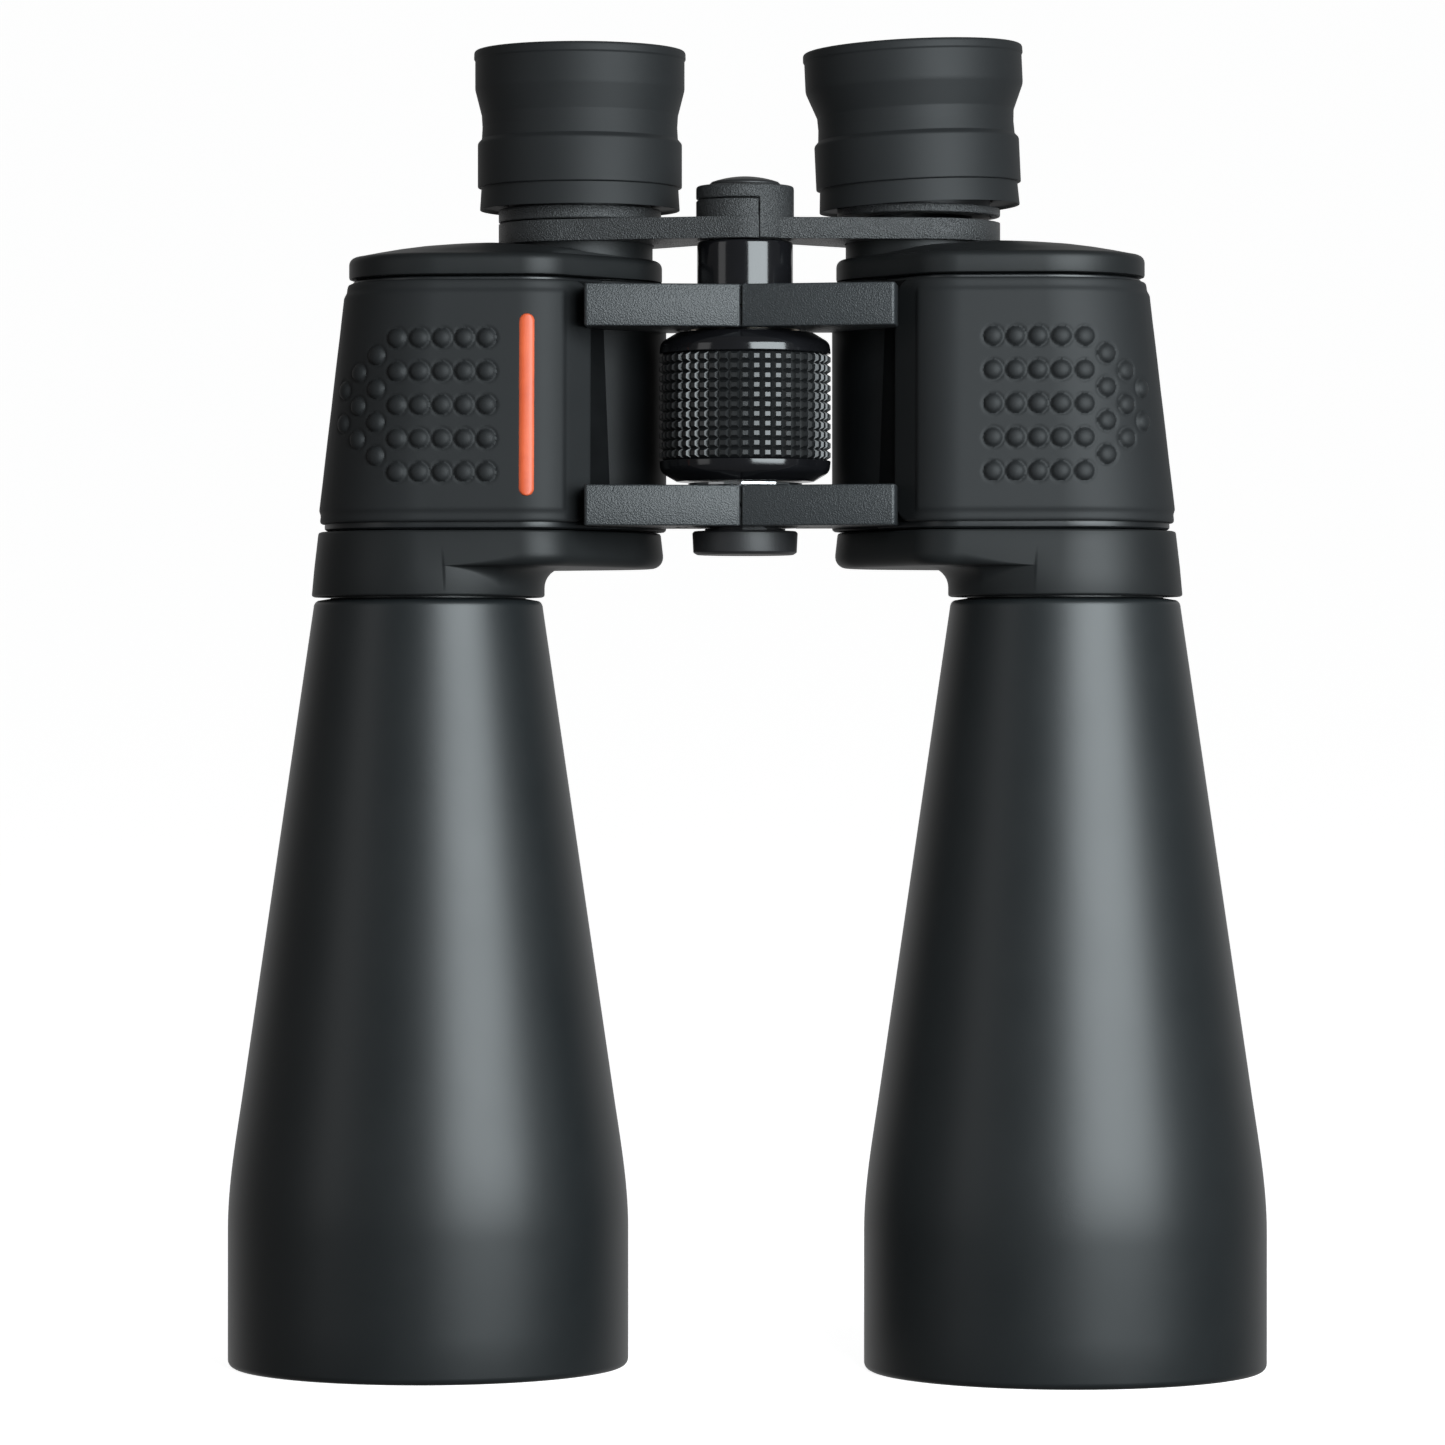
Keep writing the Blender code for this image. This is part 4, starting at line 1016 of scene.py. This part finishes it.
def make_knob():
    """Wheel with polished rims, and a knurl of small flat-topped pyramids."""
    low, high, outer = measures("focus_knob")
    band_low, band_high = low + 4.6, high - 4.6
    root = outer - 0.85
    body = turned("knob_wheel", rounded([
        (10.4, high), (outer - 3.6, high, 0.8), (outer - 0.25, high - 2.0, 2.2),
        (outer, band_high + 0.25, 0.25),
        (root - 0.2, band_high + 0.05, 0.1), (root - 0.2, band_low - 0.05, 0.1),
        (outer, band_low - 0.25, 0.25), (outer - 0.25, low + 2.0, 2.2), (outer - 3.6, low, 0.8),
        (5.3, low), (5.3, low + 16.1), (10.4, low + 16.1),
    ], 0.0, 8), HINGE, GLOSS, 1, ROUND)
    put(body, "knob", "gloss_plastic", "focus_knob")
    columns, rows = 48, 11
    pitch = (band_high - band_low) / rows
    cage = bmesh.new()

    def point(radius, column, z):
        angle = 2 * math.pi * column / columns
        return (HINGE.x + radius * math.cos(angle), HINGE.y + radius * math.sin(angle), z)

    grid = []
    for row in range(rows + 1):
        z = band_low + pitch * row
        grid.append([cage.verts.new(point(root, column, z)) for column in range(columns)])
    top = 0.27
    for row in range(rows):
        for column in range(columns):
            after = (column + 1) % columns
            base = (grid[row][column], grid[row][after], grid[row + 1][after], grid[row + 1][column])
            places = ((top, top), (1 - top, top), (1 - top, 1 - top), (top, 1 - top))
            tip = [cage.verts.new(point(outer - 0.02, column + u, band_low + pitch * (row + v)))
                   for u, v in places]
            cage.faces.new(tip)
            for k in range(4):
                n = (k + 1) % 4
                cage.faces.new((base[k], base[n], tip[n], tip[k]))
    inner = []
    for z in (band_low, band_high):
        inner.append([cage.verts.new(point(root - 0.6, column, z)) for column in range(columns)])
    for column in range(columns):
        after = (column + 1) % columns
        cage.faces.new((inner[0][column], inner[0][after], grid[0][after], grid[0][column]))
        cage.faces.new((grid[-1][column], grid[-1][after], inner[1][after], inner[1][column]))
        cage.faces.new((inner[1][column], inner[1][after], inner[0][after], inner[0][column]))
    knurl = finish_piece("knob_knurl", cage, KNURL, 20)
    put(knurl, "knob", "gloss_plastic", "focus_knob")


def make_tripod_cap():
    low, high, radius = measures("tripod_cap")
    cap = turned("socket_cap", rounded([
        (0.0, low + 0.05), (radius - 1.0, low, 0.8), (radius - 0.2, low + 0.5, 0.4),
        (radius, high - 0.4, 0.3),
        (radius - 0.4, high, 0.2), (8.9, high), (8.9, low + 1.1), (0.0, low + 1.1),
    ]), HINGE, PLASTIC, 1, SMALL_ROUND)
    put(cap, "cap", "matte_plastic", "tripod_cap")


def make_strap_lug(side, sign):
    """Flat steel loop with rounded edges."""
    node = f"strap_lug_{side}"
    low, high = span(node)
    if sign < 0:
        low[0], high[0] = -high[0], -low[0]
    centre_x = (low[0] + high[0]) / 2
    curve = bpy.data.curves.new(f"lug_{side}", "CURVE")
    curve.dimensions = "2D"
    curve.fill_mode = "BOTH"
    bevel = 0.4
    curve.extrude = ((high[2] - low[2]) / 2 - bevel) * MM
    curve.bevel_depth = bevel * MM
    curve.bevel_resolution = 3
    half = (high[0] - low[0]) / 2 - bevel
    front, back = low[1] + bevel, high[1] - bevel
    outer = hull([(centre_x + s * (half - r), y, r) for s in (-1, 1)
                  for y, r in ((back - 1.6, 1.6), (front + 0.6, 0.6))], 80)
    slot = hull([(centre_x + s * (half - 2.8), front + 1.9, 0.65) for s in (-1, 1)], 48)
    for outline in (outer, slot):
        spline = curve.splines.new("POLY")
        spline.points.add(len(outline) - 1)
        for point, place in zip(spline.points, outline):
            point.co = (sign * place.x * MM, place.y * MM, 0.0, 1.0)
        spline.use_cyclic_u = True
    lug = link(bpy.data.objects.new(f"strap_loop_{side}", curve))
    lug.location.z = (low[2] + high[2]) / 2 * MM
    curve.materials.append(STEEL)
    put(lug, BODY[side], "steel", node)


def dress_hidden_nodes():
    """Inner pieces keep their CAD shape and get a finished material."""
    finishes = {"prism_shelf": BLACK_METAL, "upper_prism": GLASS, "lower_prism": GLASS,
                "objective_flint_lens": GLASS, "field_lens": GLASS}
    for prefix, material in finishes.items():
        for side, _ in SIDES:
            set_material(f"{prefix}_{side}", material)
    set_material("upper_hinge_bush", BRASS)
    set_material("lower_hinge_axle", BLACK_METAL)
    for name in ("focus_thrust_washer", "tripod_cap_stud"):
        set_material(name, STEEL)


def set_material(node, material):
    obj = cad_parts[node]
    if obj.material_slots:
        for slot in obj.material_slots:
            slot.link = "OBJECT"
            slot.material = material
    else:
        obj.data.materials.append(material)


# ---------------------------------------------------------------- stage, light and camera

FLOOR_GLOW = 0.9
WORLD_FRONT = 0.12
WORLD_BACK = 0.6
KEY_LIGHT = {"place": (0.344, -0.49, 0.29), "target": (0.0, 0.0, 0.17), "width": 0.52, "height": 0.44,
             "power": 7.6, "colour": (0.88, 0.965, 1.0)}
FILL_LIGHT = {"place": (-0.75, -0.55, 0.30), "target": (0.0, 0.0, 0.14), "width": 0.3, "height": 0.6,
              "power": 0.6}


def make_stage():
    """Pale sweep, flat and then bent up behind; it glows, but doesn't light the object or show in it."""
    cage = bmesh.new()
    size = 6.0
    depth = [(-3.0, 0.0), (2.5, 0.0)]
    for step in range(1, 13):
        angle = math.pi / 2 * step / 12
        depth.append((2.5 + 1.5 * math.sin(angle), 1.5 * (1 - math.cos(angle))))
    depth.append((4.0, 5.0))
    rows = [[cage.verts.new((x, y, z)) for x in (-size, size)] for y, z in depth]
    for here, there in zip(rows, rows[1:]):
        cage.faces.new((here[0], here[1], there[1], there[0]))
    mesh = bpy.data.meshes.new("studio_floor")
    cage.to_mesh(mesh)
    cage.free()
    paper = new_material("white_paper", (0.6, 0.6, 0.6), 0.9, Emission_Strength=FLOOR_GLOW)
    principled(paper).inputs["Emission Color"].default_value = (1.0, 1.0, 1.0, 1.0)
    mesh.materials.append(paper)
    mesh.shade_smooth()
    floor = link(bpy.data.objects.new("studio_floor", mesh))
    floor.visible_diffuse = False
    floor.visible_glossy = False


def area_light(name, place, target, width, height, power, colour=(1.0, 1.0, 1.0)):
    data = bpy.data.lights.new(name, "AREA")
    data.shape = "RECTANGLE"
    data.size = width
    data.size_y = height
    data.energy = power
    data.color = colour
    light = link(bpy.data.objects.new(name, data))
    light.location = place
    light.rotation_euler = (Vector(target) - Vector(place)).to_track_quat("-Z", "Y").to_euler()
    light.visible_camera = False


def make_world():
    """White to the camera; to the object it is dim in front and lighter behind, so paint keeps contrast."""
    world = bpy.data.worlds.new("studio")
    world.use_nodes = True
    tree = world.node_tree
    background = tree.nodes["Background"]
    coordinates = tree.nodes.new("ShaderNodeTexCoord")
    parts = tree.nodes.new("ShaderNodeSeparateXYZ")
    ramp = tree.nodes.new("ShaderNodeMapRange")
    path = tree.nodes.new("ShaderNodeLightPath")
    choice = tree.nodes.new("ShaderNodeMix")
    ramp.interpolation_type = "SMOOTHSTEP"
    ramp.inputs["From Min"].default_value = 0.3
    ramp.inputs["From Max"].default_value = 1.0
    ramp.inputs["To Min"].default_value = WORLD_FRONT
    ramp.inputs["To Max"].default_value = WORLD_BACK
    choice.inputs["B"].default_value = 1.0
    background.inputs["Color"].default_value = (1.0, 1.0, 1.0, 1.0)
    tree.links.new(coordinates.outputs["Generated"], parts.inputs["Vector"])
    tree.links.new(parts.outputs["Y"], ramp.inputs["Value"])
    tree.links.new(path.outputs["Is Camera Ray"], choice.inputs["Factor"])
    tree.links.new(ramp.outputs["Result"], choice.inputs["A"])
    tree.links.new(choice.outputs["Result"], background.inputs["Strength"])
    bpy.context.scene.world = world


def make_lights():
    make_world()
    area_light("key", **KEY_LIGHT)
    area_light("fill", **FILL_LIGHT)


def make_camera():
    """Level camera with a long lens, a little to the right, with the hinge a little right of centre."""
    distance, height, lens, sensor, shift = 1.316, 0.1406, 155.7, 36.0, -0.0156
    azimuth = math.radians(3.5)
    data = bpy.data.cameras.new("camera")
    data.lens = lens
    data.sensor_width = sensor
    data.shift_x = shift
    data.shift_y = shift
    data.clip_start = 0.01
    data.clip_end = 50.0
    camera = link(bpy.data.objects.new("camera", data))
    camera.location = (distance * math.sin(azimuth), HINGE.y * MM - distance * math.cos(azimuth), height)
    camera.rotation_euler = (math.radians(90), 0.0, azimuth)
    bpy.context.scene.camera = camera


# ---------------------------------------------------------------- assembly

BODY = {"left": "left_half", "right": "right_half"}
BRIDGE_BODY = {"left": "carriage", "right": "right_bridge"}
OCULAR_BODY = {"left": "carriage", "right": "right_ocular"}
EYE_BODY = {"left": "carriage", "right": "right_eyecup"}

make_camera()
make_lights()
make_stage()
for side, sign in SIDES:
    make_barrel(side, sign)
    make_objective(side, sign)
    make_housing(side, sign)
    make_hinge_arms(side, sign)
    make_bottom_cover(side, sign)
    make_top_cover(side, sign)
    grip_middle = make_grip(side, sign)
    make_strap_lug(side, sign)
    make_eyecup(side, sign)
    make_eyepiece(side, sign)
make_accent(grip_middle)
make_bridge()
make_spindle()
make_knob()
make_tripod_cap()
dress_hidden_nodes()
bpy.context.scene.view_settings.view_transform = "Standard"
